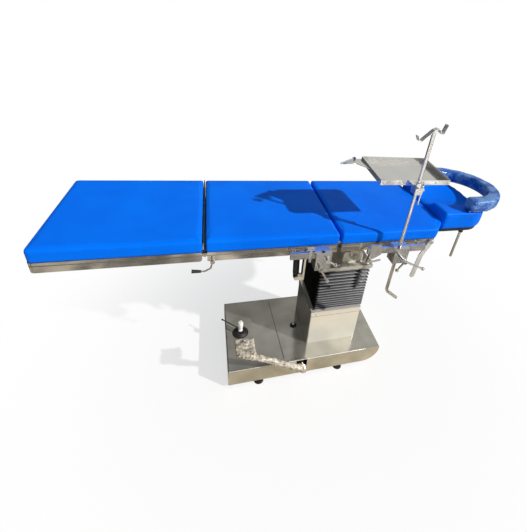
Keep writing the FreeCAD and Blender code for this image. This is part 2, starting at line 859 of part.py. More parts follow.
def seat_rail_set():
    side_rails("seat_rails", seat_rail_foot, seat_rail_head, seat_rail_foot + 22, seat_rail_head - 36)
    x = S.leg_hinge_x + S.stop_from
    shank = box(x - 5, x + 5, -rail_y - 14, -rail_y, rail_z - 6, rail_z + S.rail_h + 27)
    tee = box(x - 14, x + 14, -rail_y - 12, -rail_y, rail_z + S.rail_h + 17, rail_z + S.rail_h + 27)
    under = box(x - 5, x + 5, -rail_y, -rail_back, rail_z - 6, rail_z)
    over = box(x - 5, x + 5, -rail_y, -rail_back, rail_z + S.rail_h, rail_z + S.rail_h + 6)
    node(fuse(shank, tee, under, over), "rail_stop")
    x = S.leg_hinge_x + S.socket_from
    front = clamp_y + 2
    block = rail_clamp(x - 31, x + 31, S.clamp_bottom, S.clamp_top + 2, front)
    bore = rod("Z", x, -S.pole_off - half_w, S.clamp_bottom - 1, S.socket_r, 90.0)
    holes = [screw_hole(x + 13, rail_z + 19, front, 9.0), screw_hole(x - 13, rail_z - 14, front, 9.0)]
    node(cut(block, bore, *holes), "socket_clamp")
    hand_screw("socket_screw_1", x + 13, rail_z + 19, x + 49, rail_z - 5, front, 8.6)
    hand_screw("socket_screw_2", x - 13, rail_z - 14, x + 26, rail_z - 82, front, 8.6)


def back_rail_set():
    side_rails("back_rails", back_rail_foot, back_rail_head, back_rail_foot + 74, back_rail_head - 24)
    body = new_body("RailBracket")
    x = back_rail_foot
    low, high = rail_z - 30, rail_z + S.rail_h + 19
    pad(body, sketch(body, "XZ", [(x, low), (x + 56, rail_z + 4), (x + 50, high), (x + 10, high)],
                     offset=rail_y), 12.0)
    over = box(x + 12, x + 48, -rail_y, -rail_back, rail_z + S.rail_h, rail_z + S.rail_h + 8)
    handle = slanted(x + 12, rail_z - 26, x + 56, rail_z - 19, -rail_y - 17, 4.0)
    node(fuse(body, over, handle, rod("Y", x + 12, -rail_y - 20, rail_z - 20, 6.0, 12.0)), "rail_bracket")


pole_front = half_w + S.pole_off


def pole_set():
    x, y = pole_x, -pole_front
    block = rail_clamp(x - S.clamp_foot, x + S.clamp_head, S.clamp_bottom, S.clamp_top, clamp_y)
    bore = rod("Z", x, y, S.clamp_bottom - 1, S.pole_r + S.run_gap, 90.0)
    rail_screw_x, rail_screw_z = x + S.clamp_head - 11, S.clamp_bottom + 11
    pole_screw_z = rail_z + 3
    depth = clamp_y - pole_front - S.pole_r - 0.3
    holes = [screw_hole(rail_screw_x, rail_screw_z, clamp_y, 18.0), screw_hole(x + 3, pole_screw_z, clamp_y, depth)]
    node(cut(block, bore, *holes), "pole_clamp")
    hand_screw("clamp_rail_screw", rail_screw_x, rail_screw_z, x + 5, S.clamp_bottom - 32, clamp_y, 18.0)
    hand_screw("clamp_pole_screw", x + 3, pole_screw_z, x + 118, pole_screw_z - 56, clamp_y, depth,
               reach=25.0)
    path = bent_path([(x, y, S.pole_top), (x, y, S.pole_bottom),
                      (x + S.pole_foot_out, y, S.pole_bottom - S.pole_foot_down)], S.pole_bend_r)
    node(swept(path, round_section(path, S.pole_r)), "iv_pole")
    top = S.pole_top + 4
    points = [(-62, -20), (-50, -43), (-7, 0), (13, 11), (32, -17), (43, 23)]
    path = bent_path([(x + dx, y, top + dz) for dx, dz in points], [9.0, 30.0, 11.0, 6.0])
    strip = swept(path, flat_section(path, 2.5, 20.0, (0, 1, 0)))
    node(fuse(strip, rod("Z", x, y, S.pole_top, 9.0, 9.0)), "iv_hook")


def tray_set():
    x, y, z = pole_x, -pole_front, S.tray_clamp_z
    tray_x = pole_x - S.tray_from
    half = S.tray_clamp_half
    block = box(x - half, x + half, y - half, y + half, z, z + S.tray_clamp_h)
    bore = rod("Z", x, y, z - 1, S.pole_r + S.run_gap, 80.0)
    screw_z = z + S.tray_clamp_h / 2
    reach = half - S.pole_r - 0.3
    hole = rod("X", x + S.pole_r, y, screw_z, SCREW_R + S.run_gap, reach + 2)
    node(cut(block, bore, hole), "tray_clamp")
    bar_x = x + half + 7
    parts = [
        rod("X", x + S.pole_r + 0.3, y, screw_z, SCREW_R, reach + 4),
        rod("X", x + half + 0.4, y, screw_z, 7.5, 12.0),
        rod("Z", bar_x, y, screw_z - 58, 3.0, 76.0),
        ball(bar_x, y, screw_z - 58, 5.5),
        ball(bar_x, y, screw_z + 18, 5.5),
    ]
    node(fuse(*parts), "tray_screw")
    front = -half_w - S.tray_off
    shell = rounded(box(as_size(0), S.tray_w, as_size(0), S.tray_d, as_size(0), S.tray_h), 2.5,
                    lambda edge: along(edge, (0, 0, 1)) or level(edge, 0.0))
    t = S.tray_t
    hollow = box(t, S.tray_w - t, t, S.tray_d - t, t, S.tray_h + 1)
    dish = place(cut(shell, hollow), tray_x, front, S.tray_z, (1, 0, 0), S.tray_pitch)
    sleeve_z = z + S.tray_clamp_h + S.slide_gap
    sleeve = rod("Z", x, y, sleeve_z, 12.0, 16.0)
    arm = box(x - 10, x + 10, y + 5, front, sleeve_z, sleeve_z + 7)
    sleeve_bore = rod("Z", x, y, z, S.pole_r + S.run_gap, 80.0)
    node(cut(fuse(dish, sleeve, arm), sleeve_bore), "tray")
    wing = new_body("TrayWing")
    d, h = S.tray_d, S.tray_h
    outline = [(as_size(0), d - 2), (as_size(-108), d - 56), (as_size(-116), d - 68), (as_size(-108), d - 78),
               (as_size(0), d - 104)]
    pad(wing, sketch(wing, "XY", outline, offset=h - 3), 1.5)
    flange = box(as_size(-1.5), as_size(0), d - 104, d - 2, h - 18, h - 1.5)
    pin = rod("Z", as_size(-104), d - 66, h - 40, 3.0, as_size(38))
    knob = rod("Z", as_size(-104), d - 66, h - 52, 6.0, as_size(14))
    node(place(fuse(wing, flange, pin, knob), tray_x, front, S.tray_z, (1, 0, 0), S.tray_pitch), "tray_wing")


beam_top = frame_z - S.beam_drop
beam_z = beam_top - S.beam_h
beam_in = S.beam_y - S.beam_w / 2
beam_foot_x = S.leg_hinge_x + S.beam_foot


def chassis():
    """Two beams with cross members, spacers, hub plates and the strut's upper pin."""
    pieces = []
    for side in BOTH_SIDES:
        y0 = beam_in if side > 0 else -beam_in - S.beam_w
        pieces.append(box(beam_foot_x, S.beam_head_x, y0, y0 + S.beam_w, beam_z, beam_top))
        for x in (beam_foot_x + 30, S.strut_top_x - 20, back_x - 70):
            pieces.append(box(x, x + 40, y0, y0 + S.beam_w, beam_top - 1, frame_z))
        y0 = beam_in if side > 0 else -beam_in - S.hub_t
        pieces.append(box(S.tilt_x - 24, S.tilt_x + 24, y0, y0 + S.hub_t, tilt_z, beam_z + 4))
        pieces.append(rod("Y", S.tilt_x, y0, tilt_z, S.hub_r, S.hub_t))
        y0 = 9.0 if side > 0 else -15.0
        x = S.strut_top_x
        pieces.append(box(x - 12, x + 12, y0, y0 + 6, S.strut_top_z, beam_top - 10))
        pieces.append(rod("Y", x, y0, S.strut_top_z, 12.0, 6.0))
    for x in (beam_foot_x, S.beam_head_x - 36):
        pieces.append(box(x, x + 36, -beam_in, beam_in, beam_z + 8, beam_z + 32))
    x = S.strut_top_x
    pieces.append(box(x - 30, x + 30, -beam_in, beam_in, beam_top - 12, beam_top))
    pieces.append(rod("Y", x, -15.0, S.strut_top_z, S.pin_r, 30.0))
    node(cut(fuse(*pieces), bore_y(S.tilt_x, tilt_z, S.tilt_r, beam_in + S.hub_t + 1)), "chassis")
    reach = beam_in + S.hub_t + 3
    node(bore_y(S.tilt_x, tilt_z, S.tilt_r, reach), "tilt_shaft")


def saddle():
    """The plate on the inner column with two bearing blocks."""
    pieces = [box(S.saddle_foot_x, S.saddle_head_x, -S.saddle_half_y, S.saddle_half_y, S.saddle_z, saddle_top)]
    for side in BOTH_SIDES:
        y0 = S.block_y if side > 0 else -S.block_y - S.block_t
        block = box(S.tilt_x - S.block_half, S.tilt_x + S.block_half, y0, y0 + S.block_t,
                    saddle_top - 1, saddle_top + S.block_h)
        pieces.append(rounded(block, 18.0, lambda edge: along(edge, (0, 1, 0)) and middle(edge).z > 640))
    node(cut(fuse(*pieces), bore_y(S.tilt_x, tilt_z, S.tilt_r + S.run_gap, S.block_y + 40)), "saddle")


def strut():
    """The drop arm under the saddle, and the cylinder and rod that stand on its pin."""
    foot, z = S.saddle_foot_x, S.saddle_z + S.saddle_t / 2
    down = S.strut_x + 35
    path = bent_path([(foot, 0, z), (down, 0, z), (down, 0, S.strut_z - 12)], 24.0)
    pieces = [swept(path, flat_section(path, S.arm_t, 30.0, (0, 1, 0)))]
    for y0 in (9.0, -15.0):
        pieces.append(box(S.strut_x, down + 5, y0, y0 + 6, S.strut_z - 12, S.strut_z + 12))
        pieces.append(rod("Y", S.strut_x, y0, S.strut_z, 12.0, 6.0))
    pieces.append(rod("Y", S.strut_x, -17.0, S.strut_z, S.pin_r, 34.0))
    node(fuse(*pieces), "strut_arm")
    zero = as_size(0)
    lean = math.degrees(math.atan2(*numbers(S.strut_top_x - S.strut_x, S.strut_top_z - S.strut_z)))
    eye = fuse(rod("Y", zero, -8.0, zero, 12.0, 16.0), rod("Z", zero, zero, 6.0, 7.0, 24.0))
    barrel = rod("Z", zero, zero, 26.0, S.strut_r, S.strut_body - 26)
    tools = [rod("Y", zero, -9.0, zero, S.pin_r + S.run_gap, 18.0),
             rod("Z", zero, zero, 32.0, S.strut_rod_r + S.run_gap, S.strut_body)]
    node(place(cut(fuse(eye, barrel), *tools), S.strut_x, 0.0, S.strut_z, (0, 1, 0), lean), "strut_cylinder")
    long = math.hypot(*numbers(S.strut_top_x - S.strut_x, S.strut_top_z - S.strut_z))
    bar = rod("Z", zero, zero, 80.0, S.strut_rod_r, long - 90)
    ring = rod("Y", zero, -7.0, as_size(long), 13.0, 14.0)
    hole = rod("Y", zero, -8.0, as_size(long), S.pin_r + S.strut_play, 16.0)
    node(place(cut(fuse(bar, ring), hole), S.strut_x, 0.0, S.strut_z, (0, 1, 0), lean), "strut_rod")


def square_tube(half, wall, z0, z1):
    inner = half - wall
    return cut(box(-half, half, -half, half, z0, z1), box(-inner, inner, -inner, inner, z0 - 1, z1 + 1))


def column():
    plate_top = S.plate_z + S.plate_t
    node(square_tube(S.outer_half, S.tube_t, plate_top, S.column_top - 4), "outer_column")
    node(square_tube(S.inner_half, S.tube_t, S.inner_bottom, S.saddle_z), "inner_column")
    jack = rod("Z", 0.0, 0.0, plate_top, S.jack_r, S.inner_bottom + 60 - plate_top)
    ram_hole = rod("Z", 0.0, 0.0, plate_top - 1, S.ram_r + S.run_gap, 400.0)
    node(cut(jack, ram_hole), "lift_cylinder")
    node(rod("Z", 0.0, 0.0, S.ram_bottom, S.ram_r, S.saddle_z - S.ram_bottom), "lift_ram")
    hx, hy, t = S.column_half_x, S.column_half_y, S.cover_t
    low, top = S.base_top, S.column_top
    shell = rounded(box(-hx, hx, -hy, hy, low, top), 5.0, lambda edge: along(edge, (0, 0, 1)))
    grow = S.collar_t
    collar = rounded(box(-hx - grow, hx + grow, -hy - grow, hy + grow, top - S.collar_h, top), 6.0,
                     lambda edge: along(edge, (0, 0, 1)))
    hollow = box(-hx + t, hx - t, -hy + t, hy - t, low - 1, top - 4)
    way = box(-S.outer_half - 1, S.outer_half + 1, -S.outer_half - 1, S.outer_half + 1, low, top + 1)
    screw = rod("X", -hx - grow - 2.5, -hy / 2, top - S.collar_h / 2, 4.0, as_size(3))
    node(fuse(cut(fuse(shell, collar), hollow, way), screw), "column_cover")


def bellows():
    """Equal pleats, each of two tapered halves, repeated up the height, with a bore down the middle."""
    body = new_body("Bellows")
    height = S.saddle_z - S.column_top - S.bellows_gap * 2
    pitch = height / S.pleats
    hx, hy, d = S.bellows_half_x, S.bellows_half_y, S.pleat_d
    lean = math.degrees(math.atan((d / (pitch / 2)).number))
    low = pad(body, sketch(body, "XY", rect(-hx, hx, -hy, hy)), pitch / 2, taper=lean)
    ridge = rect(-hx - d, hx + d, -hy - d, hy + d)
    high = pad(body, sketch(body, "XY", ridge, offset=pitch / 2), pitch / 2, taper=-lean)
    for half, name in ((low, "TaperAngle"), (high, "TaperAngle")):
        sign = "" if half is low else "-"
        half.setExpression(name, "%satan(%s)" % (sign, (d / (pitch / 2)).text))
    rows = body.newObject("PartDesign::LinearPattern", "Pleats")
    rows.Originals = [low, high]
    rows.Direction = (low.Profile[0], ["N_Axis"])
    rows.Length = (height - pitch).number
    rows.setExpression("Length", (height - pitch).text)
    rows.Occurrences = int(S.pleats.number)
    rows.setExpression("Occurrences", S.pleats.text)
    body.Tip = rows
    w = S.bellows_wall
    inside = rect(-hx + w, hx - w, -hy + w, hy - w)
    pocket(body, sketch(body, "XY", inside), height + 1, up=True)
    node(place(body, S.bellows_x, 0.0, S.column_top + S.bellows_gap), "bellows")


def castors():
    """Four swivelling castors, trailing towards the foot end."""
    number = 1
    fork_top = S.plate_z - 1
    for x in (S.castor_foot_x, S.castor_head_x):
        for side in BOTH_SIDES:
            y, wheel_x = castor_y * side, x - S.trail
            half = S.wheel_w / 2 + 1
            crown = box(wheel_x - 9, x + 14, y - half - S.fork_t, y + half + S.fork_t, fork_top - 6, fork_top)
            pieces = [crown, rod("Z", x, y, fork_top - 2, S.king_r, S.plate_t + 12),
                      rod("Y", wheel_x, y - half - 2, S.wheel_r, S.axle_r, half * 2 + 4)]
            for y0 in (y - half - S.fork_t, y + half):
                pieces.append(rod("Y", wheel_x, y0, S.wheel_r, 9.0, S.fork_t))
                pieces.append(box(wheel_x - 9, wheel_x + 9, y0, y0 + S.fork_t, S.wheel_r, fork_top - 3))
            node(fuse(*pieces), "castor_fork_%d" % number)
            wheel = rounded(rod("Y", wheel_x, y - S.wheel_w / 2, S.wheel_r, S.wheel_r, S.wheel_w), 3.0,
                            lambda edge: edge.Curve.TypeId == "Part::GeomCircle")
            bore = rod("Y", wheel_x, y - S.wheel_w, S.wheel_r, S.axle_r + S.run_gap, S.wheel_w * 2)
            node(cut(wheel, bore), "castor_wheel_%d" % number)
            number += 1


def four(x_values, y_value):
    return [(x, y_value * side) for x in x_values for side in BOTH_SIDES]


lock_spots = four((S.lock_foot_x, S.lock_head_x), lock_y)
castor_spots = four((S.castor_foot_x, S.castor_head_x), castor_y)
LOCK_PIVOT = 100.0


def lock_bracket():
    """Cheeks and pin for the lock lever, in the lever's own direction."""
    zero = as_size(0)
    pieces = [rod("Y", zero, -13.0, LOCK_PIVOT, PIVOT_R, 26.0)]
    for y0 in (-13.0, 8.5):
        pieces.append(box(as_size(-9), as_size(9), as_size(y0), as_size(y0 + 4.5), S.plate_z + S.plate_t - 1,
                          as_size(LOCK_PIVOT + 8)))
    return place(fuse(*pieces), S.lock_pedal_x, 0.0, 0.0, (0, 0, 1), S.lever_turn)


def base_plate():
    top = S.plate_z + S.plate_t
    foot = S.base_foot_x + S.cover_t
    half = S.base_half_w - S.cover_t
    pieces = [box(foot, S.plate_head_x, -half, half, S.plate_z, top), lock_bracket()]
    pieces += [rod("Z", x, y, top - 1, 14.0, 9.0) for x, y in castor_spots]
    pieces += [rod("Z", x, y, top - 1, 11.0, 13.0) for x, y in lock_spots]
    pieces.append(rod("Z", S.button_x, 0.0, top - 1, 12.0, 27.0))
    boss_y = -S.base_half_w + 12
    pieces.append(box(S.pump_x - 16, S.pump_x + 16, boss_y, boss_y + 30, top - 1, S.pump_z + 15))
    tools = [rod("Z", x, y, S.plate_z - 1, S.king_r + S.run_gap, 30.0) for x, y in castor_spots]
    tools += [rod("Z", x, y, S.plate_z - 1, S.stem_r + S.run_gap, 30.0) for x, y in lock_spots]
    tools.append(rod("Z", S.button_x, 0.0, top, S.button_r + S.run_gap, 40.0))
    tools.append(rod("Y", S.pump_x, boss_y - 1, S.pump_z, S.pump_shaft_r + S.run_gap, 40.0))
    node(cut(fuse(*pieces), *tools), "base_plate")


def base_cover():
    """A sheet cover: straight at the foot end, a full round nose at the head end, open below."""
    foot, head, half, t = S.base_foot_x, S.base_head_x, S.base_half_w, S.cover_t
    low, top = S.skirt_z, S.base_top
    body = new_body("BaseShell")
    pad(body, sketch(body, "XY", rect(foot, head, -half, half)), top - low)
    far = head.number - NEAR
    edged(body, "Fillet", S.nose_r, lambda edge: level(edge, 0.0) and along(edge, (0, 1, 0))
          and middle(edge).x > far)
    height = (top - low).number
    edged(body, "Fillet", S.cover_edge_r, lambda edge: level(edge, height))
    place(body, 0.0, 0.0, low)
    well = box(foot + t, head - S.nose_r, -half + t, half - t, low - 1, top - t)
    nose = rounded(box(head - S.nose_r - 2, head - t, -half + t, half - t, low + t, top - t),
                   S.nose_r - t - 0.5,
                   lambda edge: along(edge, (0, 1, 0)) and level(edge, (low + t).number)
                   and middle(edge).x > far - 5)
    column_way = box(-S.outer_half - 1, S.outer_half + 1, -S.outer_half - 1, S.outer_half + 1, top - 10, top + 1)
    slot = box(S.pump_x - S.slot_half, S.pump_x + S.slot_half, -half - 1, -half + 6, top - S.slot_drop, top + 1)
    gaiter_way = rod("Z", S.lock_pedal_x, 0.0, top - 10, 22.0, 12.0)
    button_way = rod("Z", S.button_x, 0.0, top - 10, S.button_r + 2, 12.0)
    node(cut(body, well, nose, column_way, slot, gaiter_way, button_way), "base_cover")


def base_fittings():
    top = S.base_top
    gaiter = cone(S.lock_pedal_x, 0.0, top, S.gaiter_r, S.gaiter_r - 8, S.gaiter_h)
    node(cut(gaiter, rod("Z", S.lock_pedal_x, 0.0, top - 1, 18.0, 20.0)), "lock_gaiter")
    grommet = rounded(rod("Z", S.button_x, 0.0, top, S.grommet_r, 4.0), 1.5, lambda edge: level(edge, (top + 4).number))
    node(cut(grommet, rod("Z", S.button_x, 0.0, top - 1, S.button_r + 2, 8.0)), "release_grommet")
    pin = rod("Z", S.button_x, 0.0, S.plate_z + S.plate_t + 11, S.button_r, 50.0)
    node(rounded(pin, 2.0, lambda edge: edge.BoundBox.ZMin > top.number), "lowering_pin")
    zero = as_size(0)
    bar_z = top + 25
    pieces = [
        rod("Y", zero, -8.0, LOCK_PIVOT, 9.0, 16.0),
        rod("Z", zero, zero, LOCK_PIVOT, 7.0, bar_z + 8 - LOCK_PIVOT),
        box(zero, S.lever_reach, -S.lever_w / 2, S.lever_w / 2, bar_z, bar_z + 6),
        rod("Z", S.lever_reach, zero, bar_z, S.lever_w / 2, as_size(6)),
    ]
    hole = rod("Y", zero, -9.0, LOCK_PIVOT, PIVOT_R + S.run_gap, 18.0)
    node(place(cut(fuse(*pieces), hole), S.lock_pedal_x, 0.0, 0.0, (0, 0, 1), S.lever_turn), "lock_lever")
    knob = cone(S.lock_pedal_x, 0.0, bar_z + 6, 11.0, 15.0, as_size(49))
    knob_hole = rod("Z", S.lock_pedal_x, 0.0, bar_z, 7.02, 8.0)
    node(rounded(cut(knob, knob_hole), 4.0, lambda edge: level(edge, (bar_z + 55).number)), "lock_knob")
    frame_low, thick = S.lock_z - S.lock_t, S.lock_t
    bars = [box(x - 13, x + 13, -lock_y - 9, lock_y + 9, frame_low, frame_low + thick)
            for x in (S.lock_foot_x, S.lock_head_x)]
    bars.append(box(S.lock_foot_x, S.lock_head_x, -16.0, 16.0, frame_low, frame_low + thick))
    stems = [rod("Z", x, y, S.foot_h, S.stem_r, S.plate_z + S.plate_t + 16 - S.foot_h) for x, y in lock_spots]
    node(fuse(*bars, *stems), "lock_frame")
    feet = [cone(x, y, 0.0, S.foot_r, S.foot_r - 3, S.foot_h) for x, y in lock_spots]
    node(fuse(*feet), "lock_feet")


def pump():
    x, y, z = S.pump_x, -S.base_half_w - S.pump_off, S.pump_z
    shaft = rod("Y", x, y - 15, z, S.pump_shaft_r, S.pump_off + 15 + 40)
    hub = rod("Y", x, y - 13, z, 17.0, 26.0)
    lean = math.radians(S.pump_lean.number)
    zero = as_size(0)
    bar_end = rod("Y", S.pump_reach, as_size(-13), zero, 6.0, 26.0)
    bar = fuse(box(zero, S.pump_reach, as_size(-13), as_size(13), as_size(-4), as_size(4)), bar_end)
    place(bar, x, y, z, (0, 1, 0), 180.0 + S.pump_lean.number)
    end_x = x - S.pump_reach * math.cos(lean)
    end_z = z + S.pump_reach * math.sin(lean)
    stay = box(end_x - 12, end_x + 20, y - 13, y + 13, end_z - 6, end_z + 14)
    node(fuse(shaft, hub, bar, stay), "pump_lever")
    plate = rounded(box(end_x - S.plate_half, end_x + S.plate_half, y - S.plate_near, y + S.plate_far,
                        end_z + 14, end_z + 22), 3.0,
                    lambda edge: True)
    node(plate, "pump_foot_plate")


def check(things):
    """Stops the build if any object or sub-part came out wrong."""
    wrong = [thing for thing in doc.Objects if {"Invalid", "Error"} & set(thing.State)]
    for thing in wrong:
        print("did not compute: %s, %s, used by %s" % (thing.Name, thing.getStatusString(),
              [user.Label for user in thing.InList]))
    if wrong:
        raise ValueError("%d objects did not compute" % len(wrong))
    for thing in things:
        if thing.Shape.isNull() or not thing.Shape.isValid() or thing.Shape.Volume <= 0:
            raise ValueError("%s has no sound shape" % thing.Label)


leg_section()
seat_section()
back_section()
release_handles()
head_section()
wrist_ring()
seat_rail_set()
back_rail_set()
pole_set()
tray_set()
chassis()
saddle()
strut()
column()
bellows()
castors()
base_plate()
base_cover()
base_fittings()
pump()
doc.recompute()
check(NODES)
os.makedirs("parts", exist_ok=True)
for thing in NODES:
    thing.Shape.exportStep("parts/%s.step" % thing.Label)
    print("%-18s %3d solids %9.0f mm3" % (thing.Label, len(thing.Shape.Solids), thing.Shape.Volume))
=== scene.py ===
import json
import math

import bpy
from mathutils import Matrix, Vector

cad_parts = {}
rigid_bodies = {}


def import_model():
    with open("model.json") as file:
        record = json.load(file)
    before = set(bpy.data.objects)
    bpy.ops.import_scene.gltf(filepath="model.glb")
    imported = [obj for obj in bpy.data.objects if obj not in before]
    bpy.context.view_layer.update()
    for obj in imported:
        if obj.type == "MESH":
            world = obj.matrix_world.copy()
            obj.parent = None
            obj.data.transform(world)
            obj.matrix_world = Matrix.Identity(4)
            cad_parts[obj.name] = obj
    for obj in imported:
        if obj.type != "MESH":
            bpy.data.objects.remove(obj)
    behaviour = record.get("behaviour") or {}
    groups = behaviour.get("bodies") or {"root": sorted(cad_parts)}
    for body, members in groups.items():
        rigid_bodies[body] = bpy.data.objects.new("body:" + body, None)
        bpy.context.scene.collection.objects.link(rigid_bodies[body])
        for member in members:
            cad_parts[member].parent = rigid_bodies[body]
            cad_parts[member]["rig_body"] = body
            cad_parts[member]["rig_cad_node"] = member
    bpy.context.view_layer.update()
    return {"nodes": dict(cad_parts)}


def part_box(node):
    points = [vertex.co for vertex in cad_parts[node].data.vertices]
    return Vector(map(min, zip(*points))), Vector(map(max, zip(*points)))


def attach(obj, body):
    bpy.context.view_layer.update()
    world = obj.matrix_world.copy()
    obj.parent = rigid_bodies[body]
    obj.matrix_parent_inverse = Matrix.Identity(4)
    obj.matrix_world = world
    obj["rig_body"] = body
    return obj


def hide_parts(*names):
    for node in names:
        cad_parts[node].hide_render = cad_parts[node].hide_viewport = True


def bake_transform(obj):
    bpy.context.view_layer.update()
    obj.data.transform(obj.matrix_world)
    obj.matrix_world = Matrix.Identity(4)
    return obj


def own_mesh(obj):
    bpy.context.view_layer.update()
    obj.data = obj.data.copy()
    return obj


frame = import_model()
nodes = frame["nodes"]

# Node trees for the finishes


def new_finish(name, colour, roughness, metallic=0.0, **sockets):
    """A material with its shader, ready for a pattern."""
    finish = bpy.data.materials.new(name)
    finish.use_nodes = True
    shader = finish.node_tree.nodes["Principled BSDF"]
    shader.inputs["Base Color"].default_value = (*colour, 1.0)
    shader.inputs["Roughness"].default_value = roughness
    shader.inputs["Metallic"].default_value = metallic
    for socket, value in sockets.items():
        shader.inputs[socket.replace("_", " ").title().replace("Ior", "IOR")].default_value = value
    return finish, finish.node_tree, shader


def add_node(tree, kind, **values):
    """A node with its sockets and settings."""
    made = tree.nodes.new(kind)
    for key, value in values.items():
        if key in made.inputs:
            made.inputs[key].default_value = value
        else:
            setattr(made, key, value)
    return made


def place_axes(tree):
    """The object's own coordinates: the vector, and its axes by name."""
    place = add_node(tree, "ShaderNodeTexCoord").outputs["Object"]
    split = add_node(tree, "ShaderNodeSeparateXYZ")
    tree.links.new(place, split.inputs["Vector"])
    return place, split.outputs


def remap(tree, source, start, end, low=0.0, high=1.0, curve="LINEAR"):
    """Maps the range from start to end onto the range from low to high."""
    span = add_node(tree, "ShaderNodeMapRange", interpolation_type=curve)
    for key, value in (("From Min", start), ("From Max", end), ("To Min", low), ("To Max", high)):
        span.inputs[key].default_value = value
    tree.links.new(source, span.inputs["Value"])
    return span.outputs[0]


def mix_colours(tree, share, first, second):
    """Blends two colours; each is a constant or a socket."""
    blend = add_node(tree, "ShaderNodeMix", data_type="RGBA")
    tree.links.new(share, blend.inputs["Factor"])
    for key, colour in (("A", first), ("B", second)):
        if isinstance(colour, tuple):
            blend.inputs[key].default_value = (*colour, 1.0)
        else:
            tree.links.new(colour, blend.inputs[key])
    return blend.outputs["Result"]


def noise(tree, scale, detail=3.0, stretch=(1.0, 1.0, 1.0), rough=0.5):
    """Noise over the object's own coordinates, stretched for brushed metal."""
    place = add_node(tree, "ShaderNodeTexCoord")
    spread = add_node(tree, "ShaderNodeMapping")
    spread.inputs["Scale"].default_value = stretch
    grain = add_node(tree, "ShaderNodeTexNoise", Scale=scale, Detail=detail, Roughness=rough)
    tree.links.new(place.outputs["Object"], spread.inputs["Vector"])
    tree.links.new(spread.outputs["Vector"], grain.inputs["Vector"])
    return grain.outputs["Fac"]


def ramp(tree, source, stops):
    """Maps a value to colours or greys."""
    strip = add_node(tree, "ShaderNodeValToRGB")
    points = strip.color_ramp.elements
    while len(points) < len(stops):
        points.new(0.5)
    for point, (where, colour) in zip(points, stops):
        point.position = where
        point.color = (*colour, 1.0) if hasattr(colour, "__len__") else (colour, colour, colour, 1.0)
    tree.links.new(source, strip.inputs["Fac"])
    return strip.outputs["Color"]


def relief(tree, shader, source, depth, strength=1.0):
    """Raises the surface by a pattern of the given depth in metres."""
    bump = add_node(tree, "ShaderNodeBump", Strength=strength, Distance=depth)
    tree.links.new(source, bump.inputs["Height"])
    before = shader.inputs["Normal"].links
    if before:
        tree.links.new(before[0].from_socket, bump.inputs["Normal"])
    tree.links.new(bump.outputs["Normal"], shader.inputs["Normal"])


def vinyl(name, colour, light, dark):
    """Smooth upholstery vinyl: soft shifts of colour, a fine grain and a light gloss."""
    finish, tree, shader = new_finish(name, colour, 0.45, specular_ior_level=0.05)
    tree.links.new(ramp(tree, noise(tree, 5.0), [(0.35, dark), (0.65, light)]), shader.inputs["Base Color"])
    tree.links.new(ramp(tree, noise(tree, 18.0), [(0.3, 0.34), (0.7, 0.44)]), shader.inputs["Roughness"])
    relief(tree, shader, noise(tree, 950.0, 2.0), 0.0002, 0.3)
    relief(tree, shader, noise(tree, 9.0, 2.0), 0.002, 0.35)
    return finish


def brushed(name, colour, roughness, stretch, grain=0.00006, stains=0.12, metallic=0.9, spread=0.28):
    """Brushed steel: fine lines along one direction, with faint clouding from handling."""
    finish, tree, shader = new_finish(name, colour, roughness, metallic)
    dull = tuple(part * (1 - stains) for part in colour)
    clouds = ramp(tree, noise(tree, 7.0, 4.0), [(0.35, dull), (0.65, colour)])
    tree.links.new(clouds, shader.inputs["Base Color"])
    lines = noise(tree, 60.0, 5.0, stretch, 0.7)
    streaks = ramp(tree, lines, [(0.3, roughness * (1 - spread)), (0.7, roughness * (1 + spread))])
    tree.links.new(streaks, shader.inputs["Roughness"])
    relief(tree, shader, lines, grain, 0.5)
    return finish


def shade_side(finish, edge, metallic):
    """Leaves the sheet on the foot side of an edge fully mirror-like, where it shows the dark ground."""
    tree = finish.node_tree
    blur = 0.0005
    share = remap(tree, place_axes(tree)[1]["X"], edge - blur, edge + blur, 1.0, metallic)
    tree.links.new(share, tree.nodes["Principled BSDF"].inputs["Metallic"])


def polished(name, colour, roughness):
    """Polished steel with slight smears."""
    finish, tree, shader = new_finish(name, colour, roughness, 1.0)
    smears = noise(tree, 40.0, 4.0)
    tree.links.new(ramp(tree, smears, [(0.35, roughness * 0.6), (0.7, roughness * 1.8)]), shader.inputs["Roughness"])
    relief(tree, shader, noise(tree, 25.0), 0.00008, 0.15)
    return finish


def painted(name, colour, roughness):
    """Sprayed paint with a faint orange peel and worn, lighter patches."""
    finish, tree, shader = new_finish(name, colour, roughness)
    worn = tuple(min(1.0, part * 1.5 + 0.015) for part in colour)
    patches = ramp(tree, noise(tree, 30.0, 5.0), [(0.45, colour), (0.8, worn)])
    tree.links.new(patches, shader.inputs["Base Color"])
    relief(tree, shader, noise(tree, 900.0, 1.0), 0.0001, 0.4)
    return finish


def moulded(name, colour, roughness):
    """Moulded plastic or rubber with a fine matt texture."""
    finish, tree, shader = new_finish(name, colour, roughness)
    pale = tuple(min(1.0, part * 1.25 + 0.008) for part in colour)
    tree.links.new(ramp(tree, noise(tree, 22.0), [(0.4, colour), (0.75, pale)]), shader.inputs["Base Color"])
    relief(tree, shader, noise(tree, 1400.0, 2.0), 0.00012, 0.5)
    return finish


